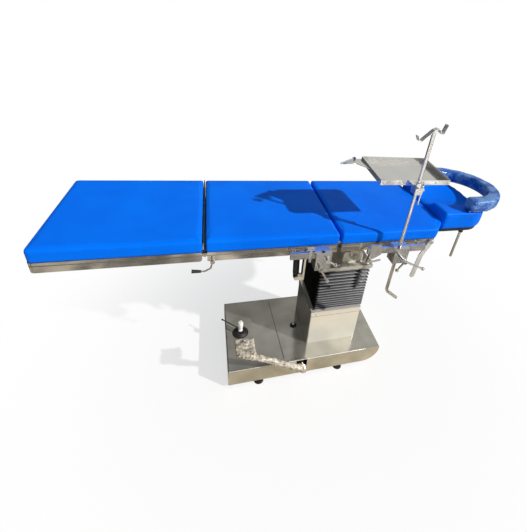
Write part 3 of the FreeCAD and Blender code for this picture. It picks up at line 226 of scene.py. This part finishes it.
def pleat_rubber(name):
    """Black rubber with a painted highlight grey out to the ridges of the near and far pleats and painted shade in
    their valleys.
    """
    finish, tree, shader = new_finish(name, (0.012, 0.012, 0.014), 0.42, specular_ior_level=0.35)
    valley_y, ridge_y = 0.107, 0.1235
    away = add_node(tree, "ShaderNodeMath", operation="ABSOLUTE")
    tree.links.new(place_axes(tree)[1]["Y"], away.inputs[0])
    # Painted light: the pleats turn grey towards their ridges as a painted highlight and near-black in the valleys
    # as painted shade.
    ridge_highlight_valley_shade = ramp(tree, remap(tree, away.outputs[0], valley_y, ridge_y), [
        (0.38, (0.004, 0.004, 0.005)), (0.55, (0.04, 0.04, 0.044)),
        (0.82, (0.13, 0.13, 0.14)), (0.93, (0.60, 0.60, 0.62))])
    tree.links.new(ridge_highlight_valley_shade, shader.inputs["Base Color"])
    relief(tree, shader, noise(tree, 300.0, 3.0), 0.0003, 0.5)
    return finish


def wrap_film(name, pale, deep, cover):
    """Glossy packing film in creases, pale where it stands off and deep where it clings; the pale patches are partly
    painted sheen.
    """
    finish, tree, shader = new_finish(name, pale, 0.14, specular_ior_level=0.7)
    creases = noise(tree, 16.0, 6.0, (1.0, 1.0, 1.6), 0.62)
    # The pale patches are partly the film's own paler tone where it stands off and partly painted sheen.
    patches = ramp(tree, creases, [(0.5 - cover, deep), (0.52 + cover * 0.3, pale)])
    tree.links.new(patches, shader.inputs["Base Color"])
    relief(tree, shader, creases, 0.012, 0.7)
    relief(tree, shader, noise(tree, 70.0, 4.0), 0.002, 0.5)
    return finish


def bubble_film(name):
    """Pale bubble film: a close pattern of round blisters over crumpled sheet."""
    finish, tree, shader = new_finish(name, (0.50, 0.46, 0.38), 0.24, specular_ior_level=0.7)
    place = add_node(tree, "ShaderNodeTexCoord")
    blisters = add_node(tree, "ShaderNodeTexVoronoi", Scale=120.0)
    tree.links.new(place.outputs["Object"], blisters.inputs["Vector"])
    dome = ramp(tree, blisters.outputs["Distance"], [(0.0, 1.0), (0.55, 0.0)])
    stains = ramp(tree, noise(tree, 60.0, 6.0, rough=0.7), [
        (0.36, (0.10, 0.08, 0.06)), (0.47, (0.42, 0.36, 0.28)),
        (0.56, (0.58, 0.54, 0.46)), (0.68, (0.90, 0.88, 0.83))])
    tree.links.new(stains, shader.inputs["Base Color"])
    relief(tree, shader, dome, 0.0022, 0.9)
    relief(tree, shader, noise(tree, 30.0, 5.0), 0.006, 0.6)
    return finish


FINE_X, FINE_Y, FINE_Z = (0.04, 1.0, 1.0), (1.0, 0.04, 1.0), (1.0, 1.0, 0.04)
COLUMN_FOOT_SIDE = -0.1345
blue_vinyl = vinyl("blue_vinyl", (0.0, 0.158, 0.86), (0.0, 0.168, 0.89), (0.0, 0.144, 0.81))
ring_film = wrap_film("ring_film", (0.10, 0.25, 0.56), (0.003, 0.09, 0.46), 0.05)
base_steel = brushed("base_steel", (0.76, 0.735, 0.66), 0.15, (0.08, 1.0, 1.0), stains=0.3, metallic=0.86)
column_steel = brushed("column_steel", (0.98, 0.95, 0.87), 0.30, FINE_Z, grain=0.000002, stains=0.06,
                       metallic=0.5, spread=0.06)
shade_side(column_steel, COLUMN_FOOT_SIDE, 0.6)
frame_steel = brushed("frame_steel", (0.88, 0.83, 0.74), 0.09, FINE_X, stains=0.3)
rail_steel = brushed("rail_steel", (0.86, 0.85, 0.82), 0.14, FINE_X)
tray_steel = brushed("tray_steel", (0.92, 0.91, 0.88), 0.12, FINE_X, stains=0.06, metallic=0.86)
clamp_steel = brushed("clamp_steel", (0.82, 0.81, 0.78), 0.2, FINE_Z)
hook_steel = brushed("hook_steel", (0.92, 0.91, 0.89), 0.2, FINE_X, stains=0.05, metallic=0.6)
pole_steel = polished("pole_steel", (0.82, 0.80, 0.75), 0.09)
bright_steel = polished("bright_steel", (0.88, 0.87, 0.85), 0.08)
# A pale, nearly matt steel for a painted highlight line along the base cover's front top edge.
painted_edge_highlight = brushed("painted_edge_highlight", (0.95, 0.94, 0.90), 0.4, FINE_X, metallic=0.2)
seam_steel = brushed("seam_steel", (0.30, 0.29, 0.26), 0.3, FINE_Y)
beam_steel = brushed("beam_steel", (0.66, 0.61, 0.52), 0.28, FINE_X, stains=0.3, metallic=0.75)
grey_rail = brushed("grey_rail", (0.42, 0.47, 0.55), 0.3, FINE_X, metallic=0.5)
dark_rod = polished("dark_rod", (0.20, 0.19, 0.18), 0.2)
black_paint = painted("black_paint", (0.012, 0.012, 0.014), 0.4)
grey_paint = painted("grey_paint", (0.14, 0.14, 0.14), 0.45)
saddle_steel = brushed("saddle_steel", (0.80, 0.77, 0.70), 0.34, FINE_Y, metallic=0.6)
bellows_rubber = pleat_rubber("bellows_rubber")
black_rubber = moulded("black_rubber", (0.014, 0.014, 0.014), 0.55)
black_plastic = moulded("black_plastic", (0.02, 0.02, 0.022), 0.38)
white_plastic = moulded("white_plastic", (0.80, 0.79, 0.76), 0.3)
grey_tread = moulded("grey_tread", (0.10, 0.10, 0.10), 0.6)
packing = bubble_film("packing")

NODE_FINISHES = {
    base_steel: ["base_cover"],
    column_steel: ["column_cover"],
    frame_steel: ["leg_frame", "seat_frame", "back_frame"],
    beam_steel: ["chassis"],
    rail_steel: ["seat_rails", "back_rails", "rail_stop"],
    hook_steel: ["iv_hook", "head_release"],
    clamp_steel: ["socket_clamp", "pole_clamp", "tray_clamp", "rail_bracket"],
    pole_steel: ["iv_pole", "ring_carrier"],
    tray_steel: ["tray", "tray_wing"],
    saddle_steel: ["saddle"],
    black_paint: ["head_plate", "base_plate", "lock_frame", "strut_cylinder"],
    grey_paint: ["outer_column", "inner_column", "lift_cylinder"]
    + ["castor_fork_%d" % number for number in range(1, 5)],
    black_plastic: ["leg_grip", "lock_gaiter", "release_grommet"],
    bright_steel: ["clamp_rail_screw", "clamp_pole_screw", "socket_screw_1", "socket_screw_2", "lock_lever",
                   "pump_lever", "pump_foot_plate", "tilt_shaft", "lift_ram", "strut_rod", "leg_handle",
                   "lowering_pin", "tray_screw", "strut_arm"],
    black_rubber: ["lock_feet"],
    bellows_rubber: ["bellows"],
    grey_tread: ["castor_wheel_%d" % number for number in range(1, 5)],
    white_plastic: ["lock_knob"],
    blue_vinyl: ["leg_pad", "seat_pad", "back_pad", "head_pad"],
    ring_film: ["wrist_ring"],
}


def cover(thing, finish):
    """Gives the piece one finish."""
    thing.data.materials.clear()
    thing.data.materials.append(finish)


for finish, names in NODE_FINISHES.items():
    for name in names:
        cover(nodes[name], finish)

# Hand tools for meshes


def fresh():
    """Leaves object mode with nothing selected."""
    if bpy.context.mode != "OBJECT":
        bpy.ops.object.mode_set(mode="OBJECT")
    bpy.ops.object.select_all(action="DESELECT")


def only(thing):
    """Leaves object mode with just this piece selected."""
    fresh()
    thing.select_set(True)
    bpy.context.view_layer.objects.active = thing


def whole(thing):
    """Enters edit mode with all of the piece selected."""
    only(thing)
    bpy.ops.object.mode_set(mode="EDIT")
    bpy.ops.mesh.select_all(action="SELECT")


def settle(thing):
    """Puts the piece's place into its mesh."""
    only(thing)
    bpy.ops.object.transform_apply(location=True, rotation=True, scale=True)


def named(name, finish):
    """Names the newest piece and gives it its finish."""
    thing = bpy.context.active_object
    thing.name = thing.data.name = name
    cover(thing, finish)
    return thing


def block(name, low, high, finish):
    """A cuboid between two corners."""
    fresh()
    low, high = Vector(low), Vector(high)
    bpy.ops.mesh.primitive_cube_add(size=1.0, location=(low + high) / 2)
    thing = named(name, finish)
    thing.scale = high - low
    settle(thing)
    return thing


def choose(thing, part, test):
    """Selects in edit mode the faces, edges or points that a test accepts."""
    only(thing)
    bpy.ops.object.mode_set(mode="EDIT")
    bpy.ops.mesh.select_mode(type={"faces": "FACE", "edges": "EDGE", "points": "VERT"}[part])
    bpy.ops.mesh.select_all(action="DESELECT")
    bpy.ops.object.mode_set(mode="OBJECT")
    mesh = thing.data
    if part == "faces":
        for face in mesh.polygons:
            face.select = bool(test(face.center, face.normal))
    elif part == "edges":
        for edge in mesh.edges:
            a, b = (mesh.vertices[index].co for index in edge.vertices)
            edge.select = bool(test(a, b))
    else:
        for point in mesh.vertices:
            point.select = bool(test(point.co))
    bpy.ops.object.mode_set(mode="EDIT")


def done(thing, angle=30.0):
    """Leaves edit mode and shades the piece smooth up to an angle."""
    only(thing)
    bpy.ops.object.shade_smooth_by_angle(angle=math.radians(angle))
    return thing


def modify(thing, kind, **values):
    """Adds a modifier and applies it."""
    only(thing)
    made = thing.modifiers.new(kind.title(), kind)
    for key, value in values.items():
        setattr(made, key, value)
    bpy.ops.object.modifier_apply(modifier=made.name)
    return thing


def soften(thing, width, segments, angle=30.0):
    """Rounds the edges that are sharper than an angle."""
    return modify(thing, "BEVEL", width=width, segments=segments, limit_method="ANGLE",
                  angle_limit=math.radians(angle))


def crumple(thing, name, scale, depth, strength, middle):
    """Pushes the surface in and out by clouds of one size."""
    clouds = bpy.data.textures.new(name, "CLOUDS")
    clouds.noise_scale, clouds.noise_depth = scale, depth
    modify(thing, "DISPLACE", texture=clouds, strength=strength, mid_level=middle, texture_coords="GLOBAL")


def smooth_all(thing):
    """Shades the whole piece smooth."""
    only(thing)
    bpy.ops.object.shade_smooth()


def turned(name, start, direction, stations, finish, sides=24):
    """A round piece drawn out of a circle; a station is a distance along the direction and a radius."""
    fresh()
    start, along = Vector(start), Vector(direction).normalized()
    tilt = along.to_track_quat("Z", "Y").to_euler()
    spots = [(start + along * step, radius) for step, radius in stations]
    bpy.ops.mesh.primitive_circle_add(vertices=sides, radius=spots[0][1], fill_type="NGON",
                                      location=spots[0][0], rotation=tilt)
    thing = named(name, finish)
    settle(thing)
    whole(thing)
    for (before, last), (spot, radius) in zip(spots, spots[1:]):
        bpy.ops.mesh.extrude_region_move(TRANSFORM_OT_translate={"value": spot - before})
        bpy.ops.transform.resize(value=(radius / last,) * 3, center_override=spot)
    bpy.ops.mesh.select_all(action="SELECT")
    bpy.ops.mesh.normals_make_consistent(inside=False)
    bpy.ops.object.mode_set(mode="OBJECT")
    return done(thing)


def copies(thing, spots, start):
    """Copies of a piece, each with its own mesh, moved from the start to the other spots."""
    made = [thing]
    for number, spot in enumerate(spots, 2):
        only(thing)
        bpy.ops.object.duplicate(linked=False)
        twin = bpy.context.active_object
        twin.name = twin.data.name = "%s_%d" % (thing.name, number)
        twin.location = Vector(spot) - Vector(start)
        settle(twin)
        made.append(twin)
    return made


def ride_all(things, body):
    """Fixes the pieces to a body."""
    for thing in things:
        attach(thing, body)


# Upholstery


def copy_of(name, node, finish):
    """A welded copy of a CAD solid's mesh."""
    only(nodes[node])
    bpy.ops.object.duplicate(linked=False)
    thing = named(name, finish)
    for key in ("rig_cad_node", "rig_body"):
        if key in thing:
            del thing[key]
    thing.parent = None
    whole(thing)
    bpy.ops.mesh.remove_doubles(threshold=0.00005)
    bpy.ops.object.mode_set(mode="OBJECT")
    return thing


BOARD_HEIGHT = 0.006
PRESSURE = 4.0
CLOTH_FRAMES = 20
GROWTH_ABOVE = 0.0008
SINK = 0.001


def stuff(thing, low, cap_side, cap_up):
    """Blows the cover up as foam does, held at its board, and caps how far it may move."""
    before = [point.co.copy() for point in thing.data.vertices]
    held = thing.vertex_groups.new(name="board")
    board = [number for number, spot in enumerate(before) if spot.z < low + BOARD_HEIGHT]
    held.add(board, 1.0, "REPLACE")
    cloth = thing.modifiers.new("Stuffing", "CLOTH")
    cloth.settings.vertex_group_mass = "board"
    cloth.settings.use_pressure = True
    cloth.settings.uniform_pressure_force = PRESSURE
    cloth.settings.effector_weights.gravity = 0.0
    cloth.settings.quality = 4
    cloth.point_cache.frame_start, cloth.point_cache.frame_end = 1, CLOTH_FRAMES
    for number in range(1, CLOTH_FRAMES + 1):
        bpy.context.scene.frame_set(number)
    shaped = thing.evaluated_get(bpy.context.evaluated_depsgraph_get()).to_mesh()
    after = [point.co.copy() for point in shaped.vertices]
    thing.modifiers.remove(cloth)
    thing.vertex_groups.clear()
    for point, old, new in zip(thing.data.vertices, before, after):
        move = new - old
        side = Vector((move.x, move.y, 0.0))
        if side.length > cap_side:
            side *= cap_side / side.length
        point.co = old + side + Vector((0.0, 0.0, max(-SINK, min(cap_up, move.z))))
    bpy.context.scene.frame_set(1)


def shrink(thing, ends, sides, top):
    """Starts a pad smaller than its solid, because it swells."""
    rows = [[point.co[axis] for point in thing.data.vertices] for axis in range(3)]
    low, high = Vector([min(row) for row in rows]), Vector([max(row) for row in rows])
    size = high - low
    whole(thing)
    bpy.ops.transform.resize(value=(1 - 2 * ends / size.x, 1 - 2 * sides / size.y, 1 - top / size.z),
                             center_override=((low.x + high.x) / 2, (low.y + high.y) / 2, low.z))
    bpy.ops.object.mode_set(mode="OBJECT")


def upholster(name, node, voxel=0.0056):
    """A covered foam pad in the space of its CAD solid."""
    low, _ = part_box(node)
    ends, sides, top = 0.0006, 0.0010, 0.0012
    thing = copy_of(name, node, blue_vinyl)
    shrink(thing, ends, sides, top)
    modify(thing, "REMESH", mode="VOXEL", voxel_size=voxel, adaptivity=0.0)
    stuff(thing, low.z, sides, top + GROWTH_ABOVE)
    modify(thing, "SMOOTH", factor=0.5, iterations=1)
    modify(thing, "SUBSURF", levels=1, render_levels=1)
    smooth_all(thing)
    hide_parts(node)
    return thing


leg_cushion = upholster("leg_cushion", "leg_pad")
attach(leg_cushion, "leg")
seat_cushion = upholster("seat_cushion", "seat_pad")
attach(seat_cushion, "deck")
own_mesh(seat_cushion)
back_cushion = upholster("back_cushion", "back_pad")
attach(back_cushion, "back")
head_cushion = upholster("head_cushion", "head_pad", voxel=0.0045)
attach(head_cushion, "head")


def wrapped_ring():
    """The wrist ring under loose packing film, creased across its length."""
    ring = copy_of("ring_cover", "wrist_ring", ring_film)
    modify(ring, "REMESH", mode="VOXEL", voxel_size=0.0042, adaptivity=0.0)
    crumple(ring, "film_folds", 0.045, 3, 0.006, 0.42)
    modify(ring, "SMOOTH", factor=0.5, iterations=2)
    smooth_all(ring)
    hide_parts("wrist_ring")
    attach(ring, "ring")


wrapped_ring()

# Column


def folded_bellows():
    """Pleats drawn up from a rounded rectangle, ridge and valley by turns."""
    low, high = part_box("bellows")
    middle = (low + high) / 2
    pleats, depth, play = 15, 0.0155, 0.001
    share_out, share_in = 0.58, 0.42
    rises = [0.74 + 0.55 * number / pleats + 0.08 * math.sin(2.7 * number) for number in range(pleats)]
    rises = [rise * (high.z - low.z) / sum(rises) for rise in rises]
    fresh()
    bpy.ops.mesh.primitive_plane_add(size=1.0, location=(middle.x, middle.y, low.z))
    thing = named("bellows_skin", bellows_rubber)
    valley = (high.x - low.x - 2 * depth - play, high.y - low.y - 2 * depth - play)
    thing.scale = (*valley, 1.0)
    settle(thing)
    whole(thing)
    bpy.ops.mesh.bevel(offset=0.008, segments=3, affect="VERTICES")
    bpy.ops.mesh.delete(type="ONLY_FACE")
    bpy.ops.mesh.select_all(action="SELECT")
    wide = [(size + 2 * depth) / size for size in valley]
    narrow = [1 / share for share in wide]
    for rise in rises:
        for share, growth in ((share_out, wide), (share_in, narrow)):
            bpy.ops.mesh.extrude_edges_move(TRANSFORM_OT_translate={"value": (0, 0, rise * share)})
            bpy.ops.transform.resize(value=(*growth, 1.0), center_override=(middle.x, middle.y, low.z))
    bpy.ops.mesh.select_all(action="SELECT")
    bpy.ops.mesh.normals_make_consistent(inside=False)
    bpy.ops.object.mode_set(mode="OBJECT")
    soften(thing, 0.0009, 2, 40.0)
    modify(thing, "SOLIDIFY", thickness=0.0012, offset=-1.0)
    done(thing, 35.0)
    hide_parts("bellows")
    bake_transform(thing)


folded_bellows()

# Fittings on the table top


def screw_head(name, spot, direction, radius, finish, height):
    """A low domed head."""
    stations = [(-0.001, radius * 0.98), (height * 0.4, radius), (height * 0.8, radius * 0.86),
                (height, radius * 0.6)]
    return turned(name, spot, direction, stations, finish)


def bolts():
    """Screw heads on the saddle's flange."""
    middle_x, half_x, half_y, flange_top = 0.048, 0.075, 0.108, 0.626
    spots = [(middle_x + x, y, flange_top) for x in (-half_x, half_x) for y in (-half_y, half_y)]
    head = screw_head("saddle_screw", spots[0], (0, 0, 1), 0.008, bright_steel, 0.006)
    ride_all(copies(head, spots[1:], spots[0]), "lift")


bolts()


def gap_shade_strip():
    """A dark strip of painted shade that closes the gap over the leg section's hinge, where the gap between the pads
    lies in shade.
    """
    strip = block("gap_shade_strip", (-0.6224, -0.253, 0.856), (-0.6176, 0.253, 0.9005), black_rubber)
    soften(strip, 0.0004, 1)
    ride_all([strip], "deck")


gap_shade_strip()


def tray_rivets():
    """Rivets along the tray's front wall, which leans with the tray."""
    tilt = math.radians(5.0)
    outward = Vector((0, -math.cos(tilt), -math.sin(tilt)))
    up = Vector((0, -math.sin(tilt), math.cos(tilt)))
    row = Vector((0, -0.268, 1.121)) + up * 0.011
    spots = [row + Vector((x, 0, 0)) for x in (0.012, 0.075, 0.180, 0.235, 0.290)]
    rivet = screw_head("tray_rivet", spots[0], outward, 0.0045, tray_steel, 0.002)
    ride_all(copies(rivet, spots[1:], spots[0]), "tray")


tray_rivets()


def slide_points(thing, test, shift):
    """Moves the points that a test accepts."""
    choose(thing, "points", test)
    bpy.ops.transform.translate(value=shift)
    bpy.ops.object.mode_set(mode="OBJECT")


def wing_plate():
    """The bright plate off the tray's far corner, with a rail along its edge that ends in a black cap."""
    level, close = 1.150, 0.001
    fresh()
    bpy.ops.mesh.primitive_plane_add(size=0.1, location=(-0.05, -0.1, level))
    plate = named("wing_plate", tray_steel)
    settle(plate)
    moves = (
        ((-0.1, -0.15), (-0.016, 0.012)),
        ((0.0, -0.15), (-0.050, 0.022)),
        ((0.0, -0.05), (-0.005, -0.0265)),
        ((-0.1, -0.05), (0.068, -0.0265)),
    )
    for (x, y), (across, back) in moves:
        slide_points(plate, lambda spot: abs(spot.x - x) < close and abs(spot.y - y) < close, (across, back, 0))
    near, far = Vector((-0.050, -0.128, level)), Vector((-0.005, -0.0765, level))
    choose(plate, "edges", lambda a, b: min((a - near).length, (b - near).length) < 2 * close
           and min((a - far).length, (b - far).length) < 2 * close)
    bpy.ops.mesh.extrude_edges_move(TRANSFORM_OT_translate={"value": (0.0225, -0.07, -0.004)})
    bpy.ops.mesh.merge(type="CENTER")
    bpy.ops.object.mode_set(mode="OBJECT")
    modify(plate, "SOLIDIFY", thickness=0.0022, offset=-1.0)
    soften(plate, 0.0006, 1)
    above = 0.003
    start, end = Vector((-0.117, -0.139, level + above)), Vector((-0.034, -0.0785, level + above))
    along = (end - start).normalized()
    rail = turned("wing_rail", start, along, [(0.0, 0.003), (0.001, 0.0042), (0.088, 0.0042), (0.089, 0.003)],
                  grey_rail, 4)
    cap = turned("wing_cap", start + along * 0.087, along,
                 [(0.0, 0.003), (0.001, 0.0056), (0.013, 0.0056), (0.014, 0.004)], black_plastic, 12)
    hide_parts("tray_wing")
    ride_all([plate, rail, cap], "tray")


wing_plate()


def ball_knobs():
    """Bright balls on the ends of the hand screws' arms, with a neck each."""
    tips = {
        "clamp_rail_screw": (0.138, -0.326, 0.754),
        "clamp_pole_screw": (0.251, -0.343, 0.765),
        "socket_screw_1": (-0.147, -0.328, 0.813),
        "socket_screw_2": (-0.170, -0.328, 0.736),
    }
    stations = [(0.0, 0.002), (0.0012, 0.0046), (0.004, 0.0070), (0.0078, 0.0081), (0.0116, 0.0070),
                (0.0144, 0.0046), (0.0156, 0.002)]
    half = stations[3][0]
    for body, tip in tips.items():
        ball = turned(body + "_ball", Vector(tip) - Vector((0, half, 0)), (0, 1, 0), stations, bright_steel, 20)
        ride_all([ball], body)


ball_knobs()

# Base


def base_trim():
    """The cover's slanting seam, a pale rod along its front edge as a painted highlight, and the line and screw of
    the column's collar.
    """
    seam = block("cover_seam", (-0.2825, -0.205, 0.1218), (-0.2785, 0.205, 0.1222), seam_steel)
    whole(seam)
    slant = math.radians(-2.6)
    bpy.ops.transform.rotate(value=slant, orient_axis="Z", center_override=(-0.2805, 0, 0.122))
    bpy.ops.object.mode_set(mode="OBJECT")
    # A thin pale rod along the cover's front top edge: a painted highlight.
    edge_highlight_rod = turned("cover_edge_highlight", (-0.5405, -0.2252, 0.1212), (1, 0, 0),
                 [(0.0, 0.0005), (0.002, 0.0013), (0.715, 0.0013), (0.717, 0.0005)], painted_edge_highlight, 12)
    collar = block("collar_line", (-0.134, -0.1339, 0.3195), (0.134, -0.1333, 0.3210), seam_steel)
    screw = screw_head("collar_screw", (-0.112, -0.1335, 0.335), (0, -1, 0), 0.0035, bright_steel, 0.0012)
    ride_all([seam, edge_highlight_rod, collar, screw], "base")


base_trim()


def lock_knob():
    """A white pear-shaped knob on the lock lever."""
    low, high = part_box("lock_knob")
    middle = (low + high) / 2
    foot = 0.0125
    knob = turned("lock_pear", (middle.x, middle.y, low.z - foot), (0, 0, 1),
                  [(0.0, 0.0105), (0.003, 0.0118), (0.0075, 0.0100)], white_plastic, 32)
    top = turned("lock_pear_top", (middle.x, middle.y, low.z), (0, 0, 1),
                 [(0.0, 0.0095), (0.004, 0.0115), (0.014, 0.0120), (0.024, 0.0132), (0.034, 0.0142),
                  (0.042, 0.0140), (0.047, 0.0115), (0.049, 0.006)], white_plastic, 32)
    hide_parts("lock_knob")
    ride_all([knob, top], "lock_pedal")


lock_knob()


def lever_rod():
    """The lock lever's thin rod with a rounded tip."""
    turn = math.radians(138.0)
    rod = turned("lever_rod", (-0.470, 0, 0.150), (math.cos(turn), math.sin(turn), 0),
                 [(0.0, 0.0030), (0.112, 0.0028), (0.115, 0.0042), (0.121, 0.0046), (0.125, 0.0030),
                  (0.126, 0.0012)], dark_rod, 16)
    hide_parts("lock_lever")
    ride_all([rod], "lock_pedal")


lever_rod()


def rubber_boot():
    """The lock's flat rubber boot with two rolled folds."""
    low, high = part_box("lock_gaiter")
    middle = (low + high) / 2
    boot = turned("lock_boot", (middle.x, middle.y, low.z), (0, 0, 1),
                  [(0.0, 0.0415), (0.002, 0.0415), (0.0035, 0.039), (0.003, 0.035), (0.006, 0.033),
                   (0.0078, 0.030), (0.0065, 0.027), (0.009, 0.024), (0.0098, 0.021), (0.0070, 0.0185)],
                  black_rubber, 40)
    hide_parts("lock_gaiter")
    ride_all([boot], "base")


rubber_boot()


def pedal_packing():
    """Bubble film wound round the pump lever and bunched over its foot plate."""
    hub = Vector((-0.182, -0.262, 0.100))
    lean = math.radians(32.0)
    along = Vector((-math.cos(lean), 0, math.sin(lean)))
    stations = [(0.002, 0.014), (0.010, 0.020), (0.035, 0.0175), (0.06, 0.0135), (0.09, 0.0155),
                (0.13, 0.0130), (0.17, 0.0150), (0.21, 0.0130), (0.25, 0.0150), (0.29, 0.0135),
                (0.32, 0.018), (0.338, 0.018), (0.348, 0.010)]
    sleeve = turned("lever_packing", hub, along, stations, packing, 28)
    modify(sleeve, "SUBSURF", levels=2, render_levels=2)
    crumple(sleeve, "packing_crumple", 0.016, 5, 0.011, 0.5)
    done(sleeve, 40.0)
    low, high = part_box("pump_foot_plate")
    below, above = Vector((0.004, 0.004, 0.006)), Vector((0.004, 0.004, 0.008))
    pad = block("plate_packing", low - below, high + above, packing)
    soften(pad, 0.007, 3)
    whole(pad)
    bpy.ops.mesh.quads_convert_to_tris()
    bpy.ops.object.mode_set(mode="OBJECT")
    modify(pad, "REMESH", mode="VOXEL", voxel_size=0.003, adaptivity=0.0)
    crumple(pad, "plate_crumple", 0.03, 4, 0.018, 0.55)
    done(pad, 40.0)
    ride_all([sleeve, pad], "pump_pedal")


pedal_packing()

# Floor, light and camera


def floor():
    """A pale floor that fades into a white backdrop; mirrors see instead a mottled ground painted in bands of light
    and shade, pale far in front and dark behind the table as painted shadow.
    """
    fresh()
    bpy.ops.mesh.primitive_plane_add(size=24.0, location=(0, 0, 0))
    ground = bpy.context.active_object
    ground.name = "floor"
    finish, tree, shader = new_finish("floor_paint", (0.9, 0.9, 0.9), 0.9)
    place, axes = place_axes(tree)
    in_view = add_node(tree, "ShaderNodeLightPath").outputs["Is Camera Ray"]
    # Painted light and shade for mirrors: bright bands stand for sunlit ground and dark bands for shaded ground,
    # darkest behind the table as its painted shadow.
    painted_ground_light_shade = ramp(tree, remap(tree, axes["Y"], -3.0, 0.5), [
        (0.0, (1.0, 0.99, 0.96)), (0.30, (0.95, 0.93, 0.88)), (0.40, (0.30, 0.27, 0.24)),
        (0.62, (0.32, 0.28, 0.22)), (0.72, (0.60, 0.52, 0.38)), (0.82, (0.60, 0.52, 0.38)),
        (0.92, (0.04, 0.036, 0.03))])
    mottle = ramp(tree, noise(tree, 5.5, 5.0), [(0.42, 0.08), (0.50, 0.7), (0.56, 1.9)])
    uneven = mix_colours(tree, remap(tree, axes["Y"], -0.95, -0.6, 1.0, 0.15), (1.0, 1.0, 1.0), mottle)
    patchy = add_node(tree, "ShaderNodeVectorMath", operation="MULTIPLY")
    tree.links.new(painted_ground_light_shade, patchy.inputs[0])
    tree.links.new(uneven, patchy.inputs[1])
    paint = mix_colours(tree, in_view, patchy.outputs[0], (0.9, 0.9, 0.9))
    tree.links.new(paint, shader.inputs["Base Color"])
    away = add_node(tree, "ShaderNodeVectorMath", operation="LENGTH")
    tree.links.new(place, away.inputs[0])
    fade = remap(tree, away.outputs["Value"], 0.5, 1.7, 0.66, 1.0, "SMOOTHSTEP")
    share = add_node(tree, "ShaderNodeMath", operation="MULTIPLY")
    tree.links.new(in_view, share.inputs[0])
    tree.links.new(fade, share.inputs[1])
    glow = add_node(tree, "ShaderNodeEmission", Strength=1.0, Color=(1, 1, 1, 1))
    mix = add_node(tree, "ShaderNodeMixShader")
    tree.links.new(share.outputs[0], mix.inputs["Fac"])
    tree.links.new(shader.outputs[0], mix.inputs[1])
    tree.links.new(glow.outputs[0], mix.inputs[2])
    tree.links.new(mix.outputs[0], tree.nodes["Material Output"].inputs["Surface"])
    cover(ground, finish)


floor()


def daylight():
    """A soft studio sun from the head end, and a sky that only reflections see in bands of light and dark."""
    bpy.ops.object.light_add(type="SUN")
    sun = bpy.context.active_object
    sun.name = "studio_sun"
    travel = Vector((-278, 199, -236)).normalized()
    sun.rotation_euler = (-travel).to_track_quat("Z", "Y").to_euler()
    sun.data.energy = 3.9
    sun.data.angle = math.radians(1.2)
    sun.data.color = (1.0, 0.98, 0.94)
    world = bpy.data.worlds.new("studio")
    bpy.context.scene.world = world
    world.use_nodes = True
    tree = world.node_tree
    sky = tree.nodes["Background"]
    sky.inputs["Strength"].default_value = 1.0
    split = add_node(tree, "ShaderNodeSeparateXYZ")
    tree.links.new(add_node(tree, "ShaderNodeTexCoord").outputs["Generated"], split.inputs["Vector"])
    bands = ramp(tree, split.outputs["Z"], [
        (0.0, (0.36, 0.34, 0.30)), (0.10, (0.10, 0.10, 0.09)), (0.30, (0.50, 0.50, 0.49)),
        (0.50, (0.48, 0.48, 0.46)), (0.74, (0.40, 0.40, 0.37)), (1.0, (0.8, 0.85, 0.9))])
    shaded = add_node(tree, "ShaderNodeVectorMath", operation="SCALE")
    tree.links.new(bands, shaded.inputs[0])
    tree.links.new(remap(tree, split.outputs["X"], -0.3, 0.5, 0.12, 1.0, "SMOOTHSTEP"), shaded.inputs["Scale"])
    path = add_node(tree, "ShaderNodeLightPath").outputs
    lit = mix_colours(tree, path["Is Glossy Ray"], (0.30, 0.32, 0.36), shaded.outputs[0])
    seen = mix_colours(tree, path["Is Camera Ray"], lit, (1.0, 1.0, 1.0))
    tree.links.new(seen, sky.inputs["Color"])


daylight()


def view_from_photo():
    """The camera that the photograph's edges were fitted to."""
    width, height = 527.0, 532.0
    focal, centre_x, centre_y = 330.059, 324.241, 217.224
    data = bpy.data.cameras.new("view")
    camera = bpy.data.objects.new("view", data)
    bpy.context.scene.collection.objects.link(camera)
    turn = Matrix.Identity(3)
    for degrees, axis in ((-21.333, "Z"), (-29.661, "X"), (-8.964, "Y")):
        turn = turn @ Matrix.Rotation(math.radians(degrees), 3, axis)
    right, ahead, up = turn.col[0], turn.col[1], turn.col[2]
    camera.matrix_world = Matrix.Translation((-0.583198, -1.247446, 1.592092)) @ Matrix((
        (right.x, up.x, -ahead.x, 0), (right.y, up.y, -ahead.y, 0), (right.z, up.z, -ahead.z, 0), (0, 0, 0, 1)))
    data.sensor_width = 36.0
    data.lens = focal * data.sensor_width / height
    data.shift_x = (width / 2 - centre_x) / height
    data.shift_y = (centre_y - height / 2) / height
    data.clip_start = 0.05
    bpy.context.scene.camera = camera


view_from_photo()
bpy.context.scene.view_settings.view_transform = "Standard"
